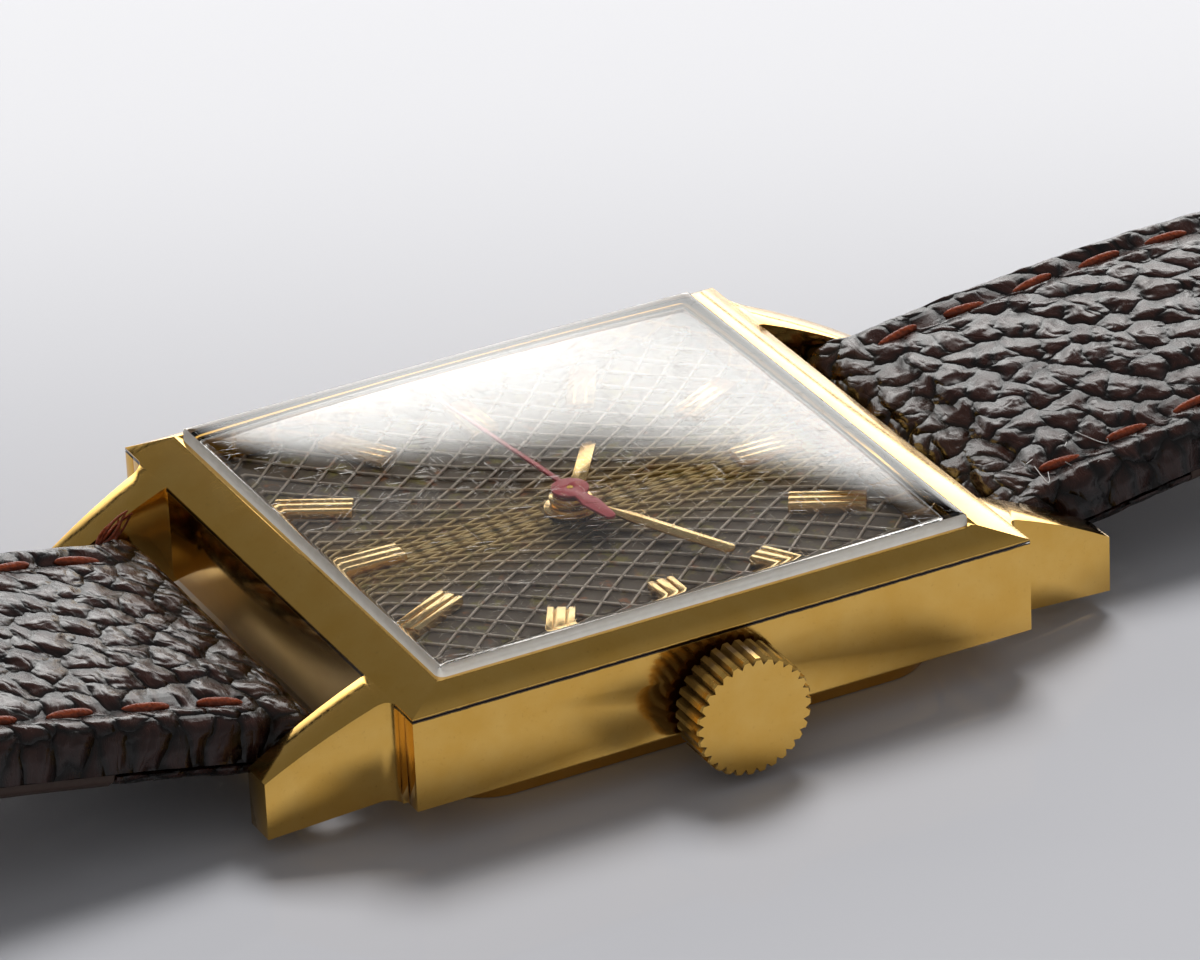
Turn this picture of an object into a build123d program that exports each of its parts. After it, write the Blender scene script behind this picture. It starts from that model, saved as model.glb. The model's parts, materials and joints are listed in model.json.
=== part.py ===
from build123d import *
import os
from math import cos, degrees, radians, sin, sqrt

# Square hand-wound wristwatch on a padded leather strap, laid open on a table.
# Millimetres. The origin is the middle of the case back's resting face.
# +X is 3 o'clock and the crown, +Y is 12 o'clock, +Z is up out of the dial.

os.makedirs("parts", exist_ok=True)

# Case, in two shells that snap together at the seam
case_width = 29.0
case_length = 30.0
back_drop = 2.0
flank_height = 4.35
bezel_lip = 0.12
bezel_rise = 0.63
bezel_slope_width = 1.35
bezel_slope_length = 1.85
bezel_flat = 0.2
shell_wall = 1.0
flank_wall = 0.8
case_fit = 0.04
seam_gap = 0.04
back_floor = 0.6
back_plate = 0.8
pan_wall = 0.6
pan_draft = 0.6
pan_corner = 3.0
edge_round = 0.12

# Lugs and the holes for the spring bars
lug_reach = 5.7
lug_gap = 20.0
lug_root_width = 2.3
lug_tip_width = 1.65
lug_shelf = 0.25
lug_shelf_drop = 0.05
lug_shoulder = 2.2
lug_shoulder_drop = 0.97
lug_tip_top = 3.65
lug_tip_low = 0.95
lug_root_low = 1.7
lug_root_blend = 0.8
bar_inset = 2.3
bar_height = 3.5

# Crystal
crystal_fit = 0.02
crystal_seat_width = 0.65
crystal_seat_depth = 0.5
crystal_rim_rise = 0.5
crystal_dome = 0.95
crystal_wall = 1.2
crystal_corner = 0.4
crystal_shoulder = 0.45

# Crown, its tube and the winding stem
crown_axis_height = 3.2
crown_radius = 2.8
crown_length = 2.05
crown_gap = 0.25
crown_teeth = 30
crown_tooth_depth = 0.25
crown_bore_depth = 1.25
crown_face_chamfer = 0.18
tube_radius = 1.1
tube_bore = 0.55
tube_stand = 1.0
gasket_section = 0.38
gasket_fit = 0.02
crown_pull = 0.7
stem_radius = 0.5
stem_square = 0.66
stem_pilot_radius = 0.3
stem_pilot_run = 1.35
stem_groove = 0.4
stem_groove_run = 0.9
stem_groove_depth = 0.25
stem_fit = 0.03

# Dial, markers and hands
dial_thickness = 0.4
dial_margin = 0.12
dial_hole = 1.1
dial_foot_radius = 0.35
dial_foot_length = 1.1
dial_foot_place = 7.5
marker_inner = 8.3
marker_outer = 11.3
marker_width = 1.25
marker_height = 0.5
marker_groove = 0.09
marker_groove_depth = 0.08
marker_groove_place = 0.26
rehaut_wall = 0.6
rehaut_gap = 0.05
hand_gap = 0.15
hand_thickness = 0.14
hour_hand_length = 5.85
hour_collar = 1.2
hour_neck = 0.26
hour_neck_end = 2.35
hour_blade = 0.68
hour_shoulder = 0.2
minute_hand_length = 8.85
minute_collar = 0.95
minute_neck = 0.34
minute_neck_end = 2.2
minute_blade = 0.7
minute_shoulder = 1.1
collar_height = 0.3
seconds_hand_length = 11.0
seconds_disc = 0.85
seconds_needle_root = 0.26
seconds_needle_tip = 0.12
seconds_tail = 3.4
seconds_tail_root = 0.5
seconds_tail_width = 0.85
seconds_pipe = 0.3
shown_minutes = 10 + 44 / 60
shown_hours = 10

# Movement: plate, bridges and their levels
movement_radius = 11.8
plate_over_stem = 1.3
plate_thickness = 1.9
flange_width = 0.4
flange_thickness = 0.3
ring_fit = 0.1
ring_floor_gap = 0.05
pivot_radius = 0.09
pivot_fit = 0.02
arbor_radius = 0.2
wheel_thickness = 0.12
wheel_level_gap = 0.1
wheel_rim = 0.42
wheel_hub = 0.55
wheel_arm = 0.28
bridge_margin = 0.2
bridge_thickness = 0.6
barrel_bridge_thickness = 0.74
wheel_room = 0.2
jewel_radius = 0.42
jewel_thickness = 0.3
screw_head = 0.6
screw_head_height = 0.2
screw_shank = 0.3
screw_depth = 1.0
screw_slot = 0.15
winding_head = 1.2
winding_head_height = 0.25

# Barrel and winding work
barrel_teeth = 80
centre_leaves = 10
barrel_module = 0.13
barrel_angle = 70
barrel_gear_thickness = 0.16
drum_radius = 4.75
drum_wall = 0.25
drum_height = 0.9
drum_cover = 0.15
barrel_core = 1.3
barrel_shaft = 0.95
barrel_pivot = 0.4
mainspring_strip = 0.12
mainspring_gap = 0.42
mainspring_half_turns = 10
ratchet_teeth = 40
crown_wheel_teeth = 24
winding_module = 0.2
ratchet_thickness = 0.4
ratchet_drop = 0.05
ratchet_square = 1.3
winding_pinion_teeth = 12
winding_pinion_radius = 1.25
winding_pinion_length = 1.15
sliding_pinion_radius = 0.92
sliding_pinion_length = 1.25
sliding_groove = 0.5
sliding_groove_depth = 0.32
pinion_gap = 0.05
pinion_tooth_depth = 0.22
click_radius = 0.6
click_angle = 165
click_tip_turn = 7
click_spring_turn = 15
barrel_screw_angles = (152, 110, 30, -13)
train_screw_angles = (176, 197)
train_foot_angle = -45
train_foot_share = 0.6
cock_foot_angle = 224
bridge_line = 2.4
bridge_side_x = 2.65
bridge_side_y = -2.95
train_low_y = -4.6
train_corner_x = 5.9
click_gap = 0.06
click_spring_wire = 0.16

# Going train
centre_teeth = 64
third_leaves = 8
third_teeth = 60
seconds_leaves = 8
centre_module = 0.09
third_angle = 185
seconds_teeth = 70
escape_leaves = 7
escape_module = 0.08
escape_angle = 310
hollow_arbor = 0.4
hollow_bore = 0.2
seconds_arbor = 0.15
addendum_share = 0.9
dedendum_share = 1.25
tooth_root_share = 0.3
tooth_tip_share = 0.13

# Escapement and balance
escape_wheel_teeth = 15
escape_radius = 2.1
escape_root = 1.65
escape_hub = 0.5
pallet_distance_share = 1.155
pallet_arm = 0.3
pallet_stone = 0.3
pallet_foot_reach = 4.0
pallet_foot_radius = 0.8
pallet_fork_slot = 0.34
pallet_clear = 0.06
balance_distance = 7.3
balance_angle = 262
balance_radius = 4.2
balance_rim = 0.5
balance_rim_height = 0.35
balance_arm = 0.5
balance_arm_height = 0.15
roller_radius = 0.95
roller_thickness = 0.1
impulse_radius = 0.12
impulse_orbit = 0.78
hairspring_strip = 0.07
hairspring_gap = 0.27
hairspring_height = 0.15
hairspring_half_turns = 11
collet_radius = 0.36
cock_thickness = 0.34
cock_width = 2.2
cock_foot_radius = 1.5
cock_floor_gap = 0.16

# Motion work under the dial, and the setting parts
motion_module = 0.13
cannon_leaves = 10
minute_teeth = 30
minute_leaves = 8
hour_teeth = 32
minute_wheel_angle = -75
setting_teeth = 20
setting_wheel_angle = 19
motion_floor = 0.78
motion_room = 0.25
pipe_wall = 0.12
pipe_fit = 0.04
post_radius = 0.25
lever_reach = 2.6
lever_thickness = 0.3
lever_width = 0.8
lever_pin = 0.15
yoke_reach = 3.6
yoke_finger = 0.3
yoke_finger_end = 0.6
keyless_pocket_rim = 0.6

# Spring bars
bar_radius = 0.75
bar_bore = 0.5
bar_end_gap = 0.35
bar_tip_radius = 0.38
bar_tip_reach = 0.85
bar_tip_inside = 1.4
bar_hole_fit = 0.06

# Strap
strap_width = 19.2
strap_end_width = 16.0
strap_taper_run = 46.0
strap_loop_radius = 1.9
strap_bore_fit = 0.06
strap_under = 1.2
strap_pad = 2.05
strap_pad_run = 16.0
strap_thin = 1.1
strap_thin_run = 46.0
lining_thickness = 0.8
fold_run = 8.0
long_length = 112.0
long_rise_angle = 12
long_bend_radius = 243.0
tip_run = 9.0
tip_round = 2.5
strap_holes = 7
strap_hole_radius = 0.9
strap_hole_step = 6.5
strap_hole_start = 24.0
short_bend_run = 40.0
short_straight = 35.0
short_rise_angle = 9
short_bend_radius = 163.7
keeper_length = 4.5
keeper_wall = 1.0
keeper_fit = 0.2
keeper_room = 2.2
fixed_keeper_back = 8.5
free_keeper_back = 17.0

# Buckle
frame_inner = 16.8
frame_arm = 1.7
frame_front = 1.9
frame_thickness = 2.0
frame_reach = 9.2
frame_heel = 1.3
buckle_bar_radius = 0.75
buckle_bar_fit = 0.04
buckle_loop_radius = 1.75
tongue_width = 2.0
tongue_loop = 1.3
tongue_thickness = 0.8
tongue_slot = 3.0
tongue_overhang = 0.3
tongue_gap = 0.05
tongue_camber = 0.35

cut_over = 0.5
full_turn = 360

# Levels and places that follow from the sizes above
half_width = case_width / 2
lug_span = case_length + 2 * lug_reach
half_length = case_length / 2
flank_base = back_drop
seam = flank_base + flank_height
bezel_base = seam + bezel_lip
bezel_top = bezel_base + bezel_rise
opening_x = half_width - bezel_slope_width - bezel_flat
opening_y = half_length - bezel_slope_length - bezel_flat
seat_level = bezel_top - crystal_seat_depth
plate_top = crown_axis_height + plate_over_stem
plate_under = plate_top - plate_thickness
dial_top = plate_top + dial_thickness
sight_x = opening_x - crystal_seat_width
sight_y = opening_y - crystal_seat_width
dial_half_x = sight_x + rehaut_wall - dial_margin
dial_half_y = sight_y + rehaut_wall - dial_margin
inner_flank = half_width - flank_wall
inner_wall = half_length - shell_wall
hour_level = dial_top + hand_gap
minute_level = hour_level + collar_height + hand_gap
seconds_level = minute_level + collar_height + hand_gap


def around(distance, angle, centre=(0, 0)):
    """The point at a distance and an angle from a centre."""
    turn = radians(angle)
    return (centre[0] + distance * cos(turn), centre[1] + distance * sin(turn))


def bearing(start, end):
    """The angle of the line from one point to another, in degrees."""
    return Vector(1, 0, 0).get_signed_angle(Vector(end[0] - start[0], end[1] - start[1], 0), Vector(0, 0, 1))


def spread(start, end):
    """The distance between two points."""
    return sqrt((end[0] - start[0]) ** 2 + (end[1] - start[1]) ** 2)


def mesh_distance(teeth, leaves, module):
    """How far apart a wheel and its pinion stand."""
    return (teeth + leaves) * module / 2


def at(place, level):
    """A level plane with its origin over a place of the movement."""
    return Plane(origin=(place[0], place[1], level))


centre = (0, 0)
barrel_place = around(mesh_distance(barrel_teeth, centre_leaves, barrel_module), barrel_angle)
third_place = around(mesh_distance(centre_teeth, third_leaves, centre_module), third_angle)
third_module = centre_module * (centre_teeth + third_leaves) / (third_teeth + seconds_leaves)
escape_place = around(mesh_distance(seconds_teeth, escape_leaves, escape_module), escape_angle)
balance_place = around(balance_distance, balance_angle)
pallet_line = bearing(escape_place, balance_place)
pallet_place = around(escape_radius * pallet_distance_share, pallet_line, escape_place)
minute_wheel_place = around(mesh_distance(minute_teeth, cannon_leaves, motion_module), minute_wheel_angle)
setting_reach = mesh_distance(minute_teeth, setting_teeth, motion_module)
setting_place = around(setting_reach, setting_wheel_angle, minute_wheel_place)
winding_reach = mesh_distance(ratchet_teeth, crown_wheel_teeth, winding_module)
crown_wheel_place = (barrel_place[0] + sqrt(winding_reach**2 - barrel_place[1] ** 2), 0)

barrel_gear_top = plate_under - wheel_level_gap
barrel_gear_low = barrel_gear_top - barrel_gear_thickness
centre_wheel_top = barrel_gear_low - wheel_level_gap
centre_wheel_low = centre_wheel_top - wheel_thickness
seconds_wheel_top = centre_wheel_low - wheel_level_gap
seconds_wheel_low = seconds_wheel_top - wheel_thickness
third_wheel_top = seconds_wheel_low - wheel_level_gap
third_wheel_low = third_wheel_top - wheel_thickness
train_bridge_top = third_wheel_low - wheel_level_gap
train_bridge_low = train_bridge_top - bridge_thickness
barrel_bridge_top = barrel_gear_low - wheel_level_gap
barrel_bridge_low = barrel_bridge_top - barrel_bridge_thickness
ratchet_top = barrel_bridge_low - ratchet_drop
ratchet_low = ratchet_top - ratchet_thickness
escape_top = plate_under - wheel_level_gap
escape_low = escape_top - wheel_thickness
drum_top = barrel_gear_top + drum_height
motion_level = plate_top - motion_floor
cock_low = back_floor + cock_floor_gap
cock_top = cock_low + cock_thickness
hairspring_low = cock_top + wheel_level_gap
balance_rim_low = hairspring_low + hairspring_height + wheel_level_gap
balance_rim_top = balance_rim_low + balance_rim_height
pallet_cock_low = balance_rim_top + wheel_level_gap
pallet_cock_top = escape_low - wheel_level_gap


def stem_plane(distance):
    """A plane across the stem, looking out along it, at a distance from the middle."""
    return Plane(origin=(distance, 0, crown_axis_height), x_dir=(0, 1, 0), z_dir=(1, 0, 0))


def round_bar(place, low, high, radius):
    """An upright round bar between two levels."""
    with BuildPart() as bar:
        with BuildSketch(at(place, low)):
            Circle(radius)
        extrude(amount=high - low)
    return bar.part


def toothed_disc(place, low, high, teeth, module, phase):
    """Straight-flanked teeth round a pitch circle, with one tooth centred on the phase angle."""
    pitch = full_turn / teeth
    pitch_radius = teeth * module / 2
    root = pitch_radius - dedendum_share * module
    tip = pitch_radius + addendum_share * module
    profile = (
        (root, -tooth_root_share),
        (tip, -tooth_tip_share),
        (tip, tooth_tip_share),
        (root, tooth_root_share),
    )
    corners = []
    for tooth in range(teeth):
        for radius, turn in profile:
            corners.append(around(radius, phase + (tooth + turn) * pitch))
    with BuildPart() as disc:
        with BuildSketch(at(place, low)):
            with BuildLine():
                Polyline(*corners, close=True)
            make_face()
        extrude(amount=high - low)
    return disc.part


def crossed_wheel(place, low, high, teeth, module, phase, arms):
    """A toothed wheel whose web is cut away between its arms."""
    rim_inside = teeth * module / 2 - dedendum_share * module - wheel_rim
    with BuildPart() as wheel:
        add(toothed_disc(place, low, high, teeth, module, phase))
        with BuildSketch(at(place, low)):
            Circle(rim_inside)
            Circle(wheel_hub, mode=Mode.SUBTRACT)
            with PolarLocations(rim_inside / 2, arms):
                Rectangle(rim_inside + wheel_rim, wheel_arm, mode=Mode.SUBTRACT)
        extrude(amount=high - low, mode=Mode.SUBTRACT)
    return wheel.part


def spiral_strip(place, low, height, start_radius, strip, gap, half_turns):
    """A flat spring: half circles whose radius grows by half a pitch each, on alternate centres."""
    step = (strip + gap) / 2
    with BuildPart() as spring:
        with BuildSketch(at(place, low)):
            with BuildLine():
                for turn in range(half_turns):
                    shift = step / 2 if turn % 2 else -step / 2
                    side = 180 if turn % 2 else 0
                    CenterArc((shift, 0), start_radius + step * turn, side, 180)
                    CenterArc((shift, 0), start_radius + step * turn + strip, side, 180)
                Line((start_radius - step / 2, 0), (start_radius + strip - step / 2, 0))
                reach = start_radius + step * (half_turns - 1) + step / 2
                end = -1 if half_turns % 2 else 1
                Line((end * reach, 0), (end * (reach + strip), 0))
            make_face()
        extrude(amount=height)
    return spring.part


# Upper shell: bezel, walls at 12 and 6, and four lugs, in gold-plated brass
lug_root = half_length
lug_tip = lug_span / 2
lug_inner = lug_gap / 2
lug_outer = lug_inner + lug_root_width
shelf_end = lug_root + lug_shelf
bar_place = lug_tip - bar_inset

with BuildPart() as lug:
    with BuildSketch(Plane.YZ.offset(lug_inner)):
        with BuildLine():
            Polyline(
                (lug_root - shell_wall, bezel_base),
                (lug_root, bezel_base),
                (shelf_end, bezel_base - lug_shelf_drop),
            )
            Spline(
                (shelf_end, bezel_base - lug_shelf_drop),
                (shelf_end + lug_shoulder, bezel_base - lug_shelf_drop - lug_shoulder_drop),
                (lug_tip, lug_tip_top),
            )
            Polyline(
                (lug_tip, lug_tip_top),
                (lug_tip, lug_tip_low),
                (lug_root, lug_root_low),
                (lug_root - shell_wall, lug_root_low),
                (lug_root - shell_wall, bezel_base),
            )
        make_face()
    extrude(amount=half_width - lug_inner)
    with BuildSketch(Plane.XY):
        with BuildLine():
            Polyline(
                (lug_outer, lug_root + lug_root_blend),
                (lug_inner + lug_tip_width, lug_tip),
                (lug_inner, lug_tip),
                (lug_inner, lug_root - shell_wall),
                (lug_outer + lug_root_blend, lug_root - shell_wall),
                (lug_outer + lug_root_blend, lug_root),
            )
            RadiusArc(
                (lug_outer + lug_root_blend, lug_root),
                (lug_outer, lug_root + lug_root_blend),
                lug_root_blend,
            )
        make_face()
    extrude(amount=bezel_top, mode=Mode.INTERSECT)
    with BuildSketch(Plane.YZ.offset(lug_inner)):
        with Locations((bar_place, bar_height)):
            Circle(bar_tip_radius + bar_hole_fit)
    extrude(amount=bar_tip_reach + bar_hole_fit * 2, mode=Mode.SUBTRACT)

with BuildPart() as case_shell:
    with BuildSketch(Plane.XY.offset(bezel_base)):
        Rectangle(case_width, case_length)
    with BuildSketch(Plane.XY.offset(bezel_top)):
        Rectangle(2 * (opening_x + bezel_flat), 2 * (opening_y + bezel_flat))
    loft()
    with BuildSketch(Plane.XY.offset(seam)):
        Rectangle(case_width, case_length)
    extrude(amount=bezel_lip)
    with BuildSketch(Plane.XY.offset(flank_base)):
        Rectangle(2 * (inner_flank - case_fit), case_length)
        Rectangle(case_width, 2 * inner_wall, mode=Mode.SUBTRACT)
    extrude(amount=seam - flank_base)
    add(lug.part)
    add(lug.part.mirror(Plane.YZ))
    add(lug.part.mirror(Plane.XZ))
    add(lug.part.mirror(Plane.YZ).mirror(Plane.XZ))
    with BuildSketch(Plane.XY.offset(dial_top + rehaut_gap)):
        Rectangle(2 * (sight_x + rehaut_wall), 2 * (sight_y + rehaut_wall))
    extrude(amount=seam - dial_top - rehaut_gap)
    with BuildSketch(Plane.XY.offset(dial_top)):
        Rectangle(2 * sight_x, 2 * sight_y)
    extrude(amount=bezel_top - dial_top, mode=Mode.SUBTRACT)
    with BuildSketch(Plane.XY.offset(seat_level)):
        RectangleRounded(2 * opening_x, 2 * opening_y, crystal_corner)
    extrude(amount=crystal_seat_depth, mode=Mode.SUBTRACT)
case_shell.part.label = "case_shell"
export_step(case_shell.part, "parts/case_shell.step")

# Lower shell: case back with the two flanks standing on it, at 3 and 9 o'clock
pan_half_x = movement_radius + flange_width + pan_wall
pan_half_y = pan_half_x
back_half_y = inner_wall - case_fit

with BuildPart() as case_back:
    with BuildSketch(Plane.XY.offset(flank_base)):
        Rectangle(case_width, 2 * back_half_y)
    extrude(amount=back_plate)
    with BuildSketch(Plane.XY):
        RectangleRounded(2 * (pan_half_x - pan_draft), 2 * (pan_half_y - pan_draft), pan_corner)
    with BuildSketch(Plane.XY.offset(back_drop)):
        RectangleRounded(2 * pan_half_x, 2 * pan_half_y, pan_corner)
    loft()
    with BuildSketch(Plane.XY.offset(back_floor)):
        RectangleRounded(
            2 * (pan_half_x - pan_draft - pan_wall / 2),
            2 * (pan_half_y - pan_draft - pan_wall / 2),
            pan_corner,
        )
    extrude(amount=back_drop + back_plate, mode=Mode.SUBTRACT)
    with BuildSketch(Plane.XY.offset(flank_base)):
        Rectangle(case_width, case_length)
        Rectangle(2 * inner_flank, 2 * case_length, mode=Mode.SUBTRACT)
    extrude(amount=flank_height - seam_gap)
    with BuildSketch(Plane.YZ.offset(inner_flank - cut_over)):
        with Locations((0, crown_axis_height)):
            Circle(tube_radius)
    extrude(amount=flank_wall + cut_over * 2, mode=Mode.SUBTRACT)
    with BuildSketch(stem_plane(movement_radius)):
        Circle(stem_radius + ring_fit)
    extrude(amount=inner_flank - movement_radius, mode=Mode.SUBTRACT)
    fillet(case_back.edges().filter_by(Plane.XY).group_by(Axis.Z)[0], edge_round)
case_back.part.label = "case_back"
export_step(case_back.part, "parts/case_back.step")

# Crystal: a cushion of clear acrylic with an upright rim, open underneath
crystal_x = opening_x - crystal_fit
crystal_y = opening_y - crystal_fit
crystal_rim_top = bezel_top + crystal_rim_rise
crystal_top = crystal_rim_top + crystal_dome
dome_radius = (crystal_x**2 + crystal_dome**2) / (2 * crystal_dome)


def barrel_profile(half, low, inset):
    """An upright-sided outline closed above by the dome, with rounded shoulders."""
    with BuildSketch() as outline:
        with Locations((0, crystal_top - dome_radius)):
            Circle(dome_radius - inset)
        with Locations((0, (crystal_top + low) / 2)):
            Rectangle(2 * half, crystal_top - low, mode=Mode.INTERSECT)
        fillet(outline.vertices().group_by(Axis.Y)[-1], crystal_shoulder)
    return outline.sketch


def cushion(half_x, half_y, low, inset):
    """A rounded block closed above by two crossed barrel surfaces."""
    with BuildPart() as block:
        with BuildSketch(Plane.XY.offset(low)):
            RectangleRounded(2 * half_x, 2 * half_y, crystal_corner)
        extrude(amount=crystal_top - low)
        with BuildSketch(Plane.XZ):
            add(barrel_profile(half_x, low, inset))
        extrude(amount=case_length, both=True, mode=Mode.INTERSECT)
        with BuildSketch(Plane.YZ):
            add(barrel_profile(half_y, low, inset))
        extrude(amount=case_length, both=True, mode=Mode.INTERSECT)
    return block.part


with BuildPart() as crystal:
    add(cushion(crystal_x, crystal_y, seat_level, 0))
    add(
        cushion(crystal_x - crystal_wall, crystal_y - crystal_wall, seat_level - cut_over, crystal_wall),
        mode=Mode.SUBTRACT,
    )
crystal.part.label = "crystal"
export_step(crystal.part, "parts/crystal.step")

# Crown, the tube it runs on, its gasket and the stem
tube_end = half_width + tube_stand
crown_back = half_width + crown_gap
gasket_outer = tube_radius + gasket_section
stem_inner_end = crown_wheel_place[0] - stem_pilot_run


with BuildPart() as crown_tube:
    with BuildSketch(stem_plane(inner_flank)):
        Circle(tube_radius)
        Circle(tube_bore, mode=Mode.SUBTRACT)
    extrude(amount=tube_end - inner_flank)
crown_tube.part.label = "crown_tube"
export_step(crown_tube.part, "parts/crown_tube.step")

with BuildPart() as crown:
    with BuildSketch(stem_plane(crown_back)):
        Circle(crown_radius)
    extrude(amount=crown_length)
    chamfer(crown.faces().sort_by(Axis.X)[-1].edges(), crown_face_chamfer)
    chamfer(crown.faces().sort_by(Axis.X)[0].edges(), crown_face_chamfer)
    with BuildSketch(stem_plane(crown_back)):
        with PolarLocations(crown_radius, crown_teeth):
            RegularPolygon(crown_tooth_depth, 4)
    extrude(amount=crown_length, mode=Mode.SUBTRACT)
    with BuildSketch(stem_plane(crown_back)):
        Circle(gasket_outer + gasket_fit)
    extrude(amount=crown_bore_depth, mode=Mode.SUBTRACT)
    with BuildSketch(stem_plane(crown_back)):
        Circle(stem_radius)
    extrude(amount=crown_bore_depth + cut_over, mode=Mode.SUBTRACT)
crown.part.label = "crown"
export_step(crown.part, "parts/crown.step")

with BuildPart() as crown_gasket:
    with BuildSketch(stem_plane(crown_back + gasket_fit)):
        Circle(gasket_outer)
        Circle(tube_radius + gasket_fit, mode=Mode.SUBTRACT)
    extrude(amount=gasket_section)
crown_gasket.part.label = "crown_gasket"
export_step(crown_gasket.part, "parts/crown_gasket.step")

winding_pinion_end = movement_radius - winding_pinion_length * 3
winding_pinion_start = winding_pinion_end - winding_pinion_length
sliding_pinion_end = winding_pinion_start - pinion_gap
sliding_pinion_start = sliding_pinion_end - sliding_pinion_length
groove_place = winding_pinion_end + stem_groove_run

with BuildPart() as winding_stem:
    with BuildSketch(stem_plane(winding_pinion_start)):
        Circle(stem_radius)
    extrude(amount=crown_back + crown_bore_depth + cut_over - winding_pinion_start)
    with BuildSketch(stem_plane(sliding_pinion_start - crown_pull)):
        Rectangle(stem_square, stem_square)
    extrude(amount=winding_pinion_start - sliding_pinion_start + crown_pull)
    with BuildSketch(stem_plane(stem_inner_end)):
        Circle(stem_pilot_radius)
    extrude(amount=sliding_pinion_start - crown_pull - stem_inner_end)
    with BuildSketch(stem_plane(groove_place)):
        Circle(stem_radius + cut_over)
        Circle(stem_radius - stem_groove_depth, mode=Mode.SUBTRACT)
    extrude(amount=stem_groove, mode=Mode.SUBTRACT)
winding_stem.part.label = "winding_stem"
export_step(winding_stem.part, "parts/winding_stem.step")

# Ring that centres the round movement in the square case
ring_base = flank_base + back_plate + ring_floor_gap
flange_low = plate_top - flange_thickness
flange_radius = movement_radius + flange_width

with BuildPart() as movement_ring:
    with BuildSketch(Plane.XY.offset(ring_base)):
        Rectangle(2 * (inner_flank - ring_fit), 2 * (inner_wall - ring_fit))
        Circle(movement_radius + ring_fit, mode=Mode.SUBTRACT)
    extrude(amount=plate_top - pivot_fit - ring_base)
    with BuildSketch(Plane.XY.offset(flange_low - pivot_fit)):
        Circle(flange_radius + ring_fit / 2)
    extrude(amount=flange_thickness + cut_over, mode=Mode.SUBTRACT)
    with BuildSketch(stem_plane(0)):
        Circle(tube_radius + ring_fit)
    extrude(amount=half_width, mode=Mode.SUBTRACT)
movement_ring.part.label = "movement_ring"
export_step(movement_ring.part, "parts/movement_ring.step")

# Dial with its two feet
foot_places = [(-dial_foot_place, dial_foot_place), (dial_foot_place, -dial_foot_place)]

with BuildPart() as dial:
    with BuildSketch(Plane.XY.offset(plate_top)):
        Rectangle(2 * dial_half_x, 2 * dial_half_y)
        Circle(dial_hole, mode=Mode.SUBTRACT)
    extrude(amount=dial_thickness)
    with BuildSketch(Plane.XY.offset(plate_top)):
        with Locations(*foot_places):
            Circle(dial_foot_radius)
    extrude(amount=-dial_foot_length)
dial.part.label = "dial"
export_step(dial.part, "parts/dial.step")

# Twelve applied markers: grooved bars set on a square, each pointing at the middle
with BuildPart() as hour_markers:
    for hour in range(12):
        angle = 90 - 30 * hour
        stretch = 1 / max(abs(cos(radians(angle))), abs(sin(radians(angle))))
        inner = marker_inner * stretch
        outer = marker_outer * stretch
        place = around((inner + outer) / 2, angle)
        with BuildSketch(at(place, dial_top)):
            Rectangle(outer - inner, marker_width, rotation=angle)
        extrude(amount=marker_height)
        for aside in (-marker_groove_place, marker_groove_place):
            groove_spot = around(aside, angle + full_turn / 4, place)
            with BuildSketch(at(groove_spot, dial_top + marker_height - marker_groove_depth)):
                Rectangle(outer - inner + marker_width, marker_groove, rotation=angle)
            extrude(amount=marker_groove_depth, mode=Mode.SUBTRACT)
hour_markers.part.label = "hour_markers"
export_step(hour_markers.part, "parts/hour_markers.step")

# Hands, set to about ten past ten
minute_angle = 90 - 6 * shown_minutes
hour_angle = 90 - 30 * (shown_hours + shown_minutes / 60)
seconds_angle = 90 - full_turn * (shown_minutes - int(shown_minutes))
cannon_pipe = hollow_arbor + pipe_fit + pipe_wall
hour_pipe = cannon_pipe + pipe_fit + pipe_wall


def hand_plane(level, angle):
    """A level plane whose x axis runs along a hand."""
    heading = around(1, angle)
    return Plane(origin=(0, 0, level), x_dir=(heading[0], heading[1], 0), z_dir=(0, 0, 1))


with BuildPart() as hour_hand:
    with BuildSketch(hand_plane(hour_level, hour_angle)):
        with BuildLine():
            Polyline(
                (0, -hour_neck / 2),
                (hour_neck_end, -hour_neck / 2),
                (hour_neck_end + hour_shoulder, -hour_blade / 2),
                (hour_hand_length, -hour_blade / 2),
                (hour_hand_length, hour_blade / 2),
                (hour_neck_end + hour_shoulder, hour_blade / 2),
                (hour_neck_end, hour_neck / 2),
                (0, hour_neck / 2),
                close=True,
            )
        make_face()
        Circle(hour_collar)
        Circle(hour_pipe, mode=Mode.SUBTRACT)
    extrude(amount=hand_thickness)
    with BuildSketch(Plane.XY.offset(hour_level)):
        Circle(hour_pipe + pipe_wall * 2)
        Circle(hour_pipe, mode=Mode.SUBTRACT)
    extrude(amount=collar_height)
hour_hand.part.label = "hour_hand"
export_step(hour_hand.part, "parts/hour_hand.step")

with BuildPart() as minute_hand:
    with BuildSketch(hand_plane(minute_level, minute_angle)):
        with BuildLine():
            Polyline(
                (0, -minute_neck / 2),
                (minute_neck_end, -minute_neck / 2),
                (minute_neck_end + minute_shoulder, -minute_blade / 2),
                (minute_hand_length - minute_blade / 2, -minute_blade / 2),
            )
            ThreePointArc(
                (minute_hand_length - minute_blade / 2, -minute_blade / 2),
                (minute_hand_length, 0),
                (minute_hand_length - minute_blade / 2, minute_blade / 2),
            )
            Polyline(
                (minute_hand_length - minute_blade / 2, minute_blade / 2),
                (minute_neck_end + minute_shoulder, minute_blade / 2),
                (minute_neck_end, minute_neck / 2),
                (0, minute_neck / 2),
                (0, -minute_neck / 2),
            )
        make_face()
        Circle(minute_collar)
        Circle(cannon_pipe, mode=Mode.SUBTRACT)
    extrude(amount=hand_thickness)
    with BuildSketch(Plane.XY.offset(minute_level)):
        Circle(cannon_pipe + pipe_wall * 2)
        Circle(cannon_pipe, mode=Mode.SUBTRACT)
    extrude(amount=collar_height)
minute_hand.part.label = "minute_hand"
export_step(minute_hand.part, "parts/minute_hand.step")

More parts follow.
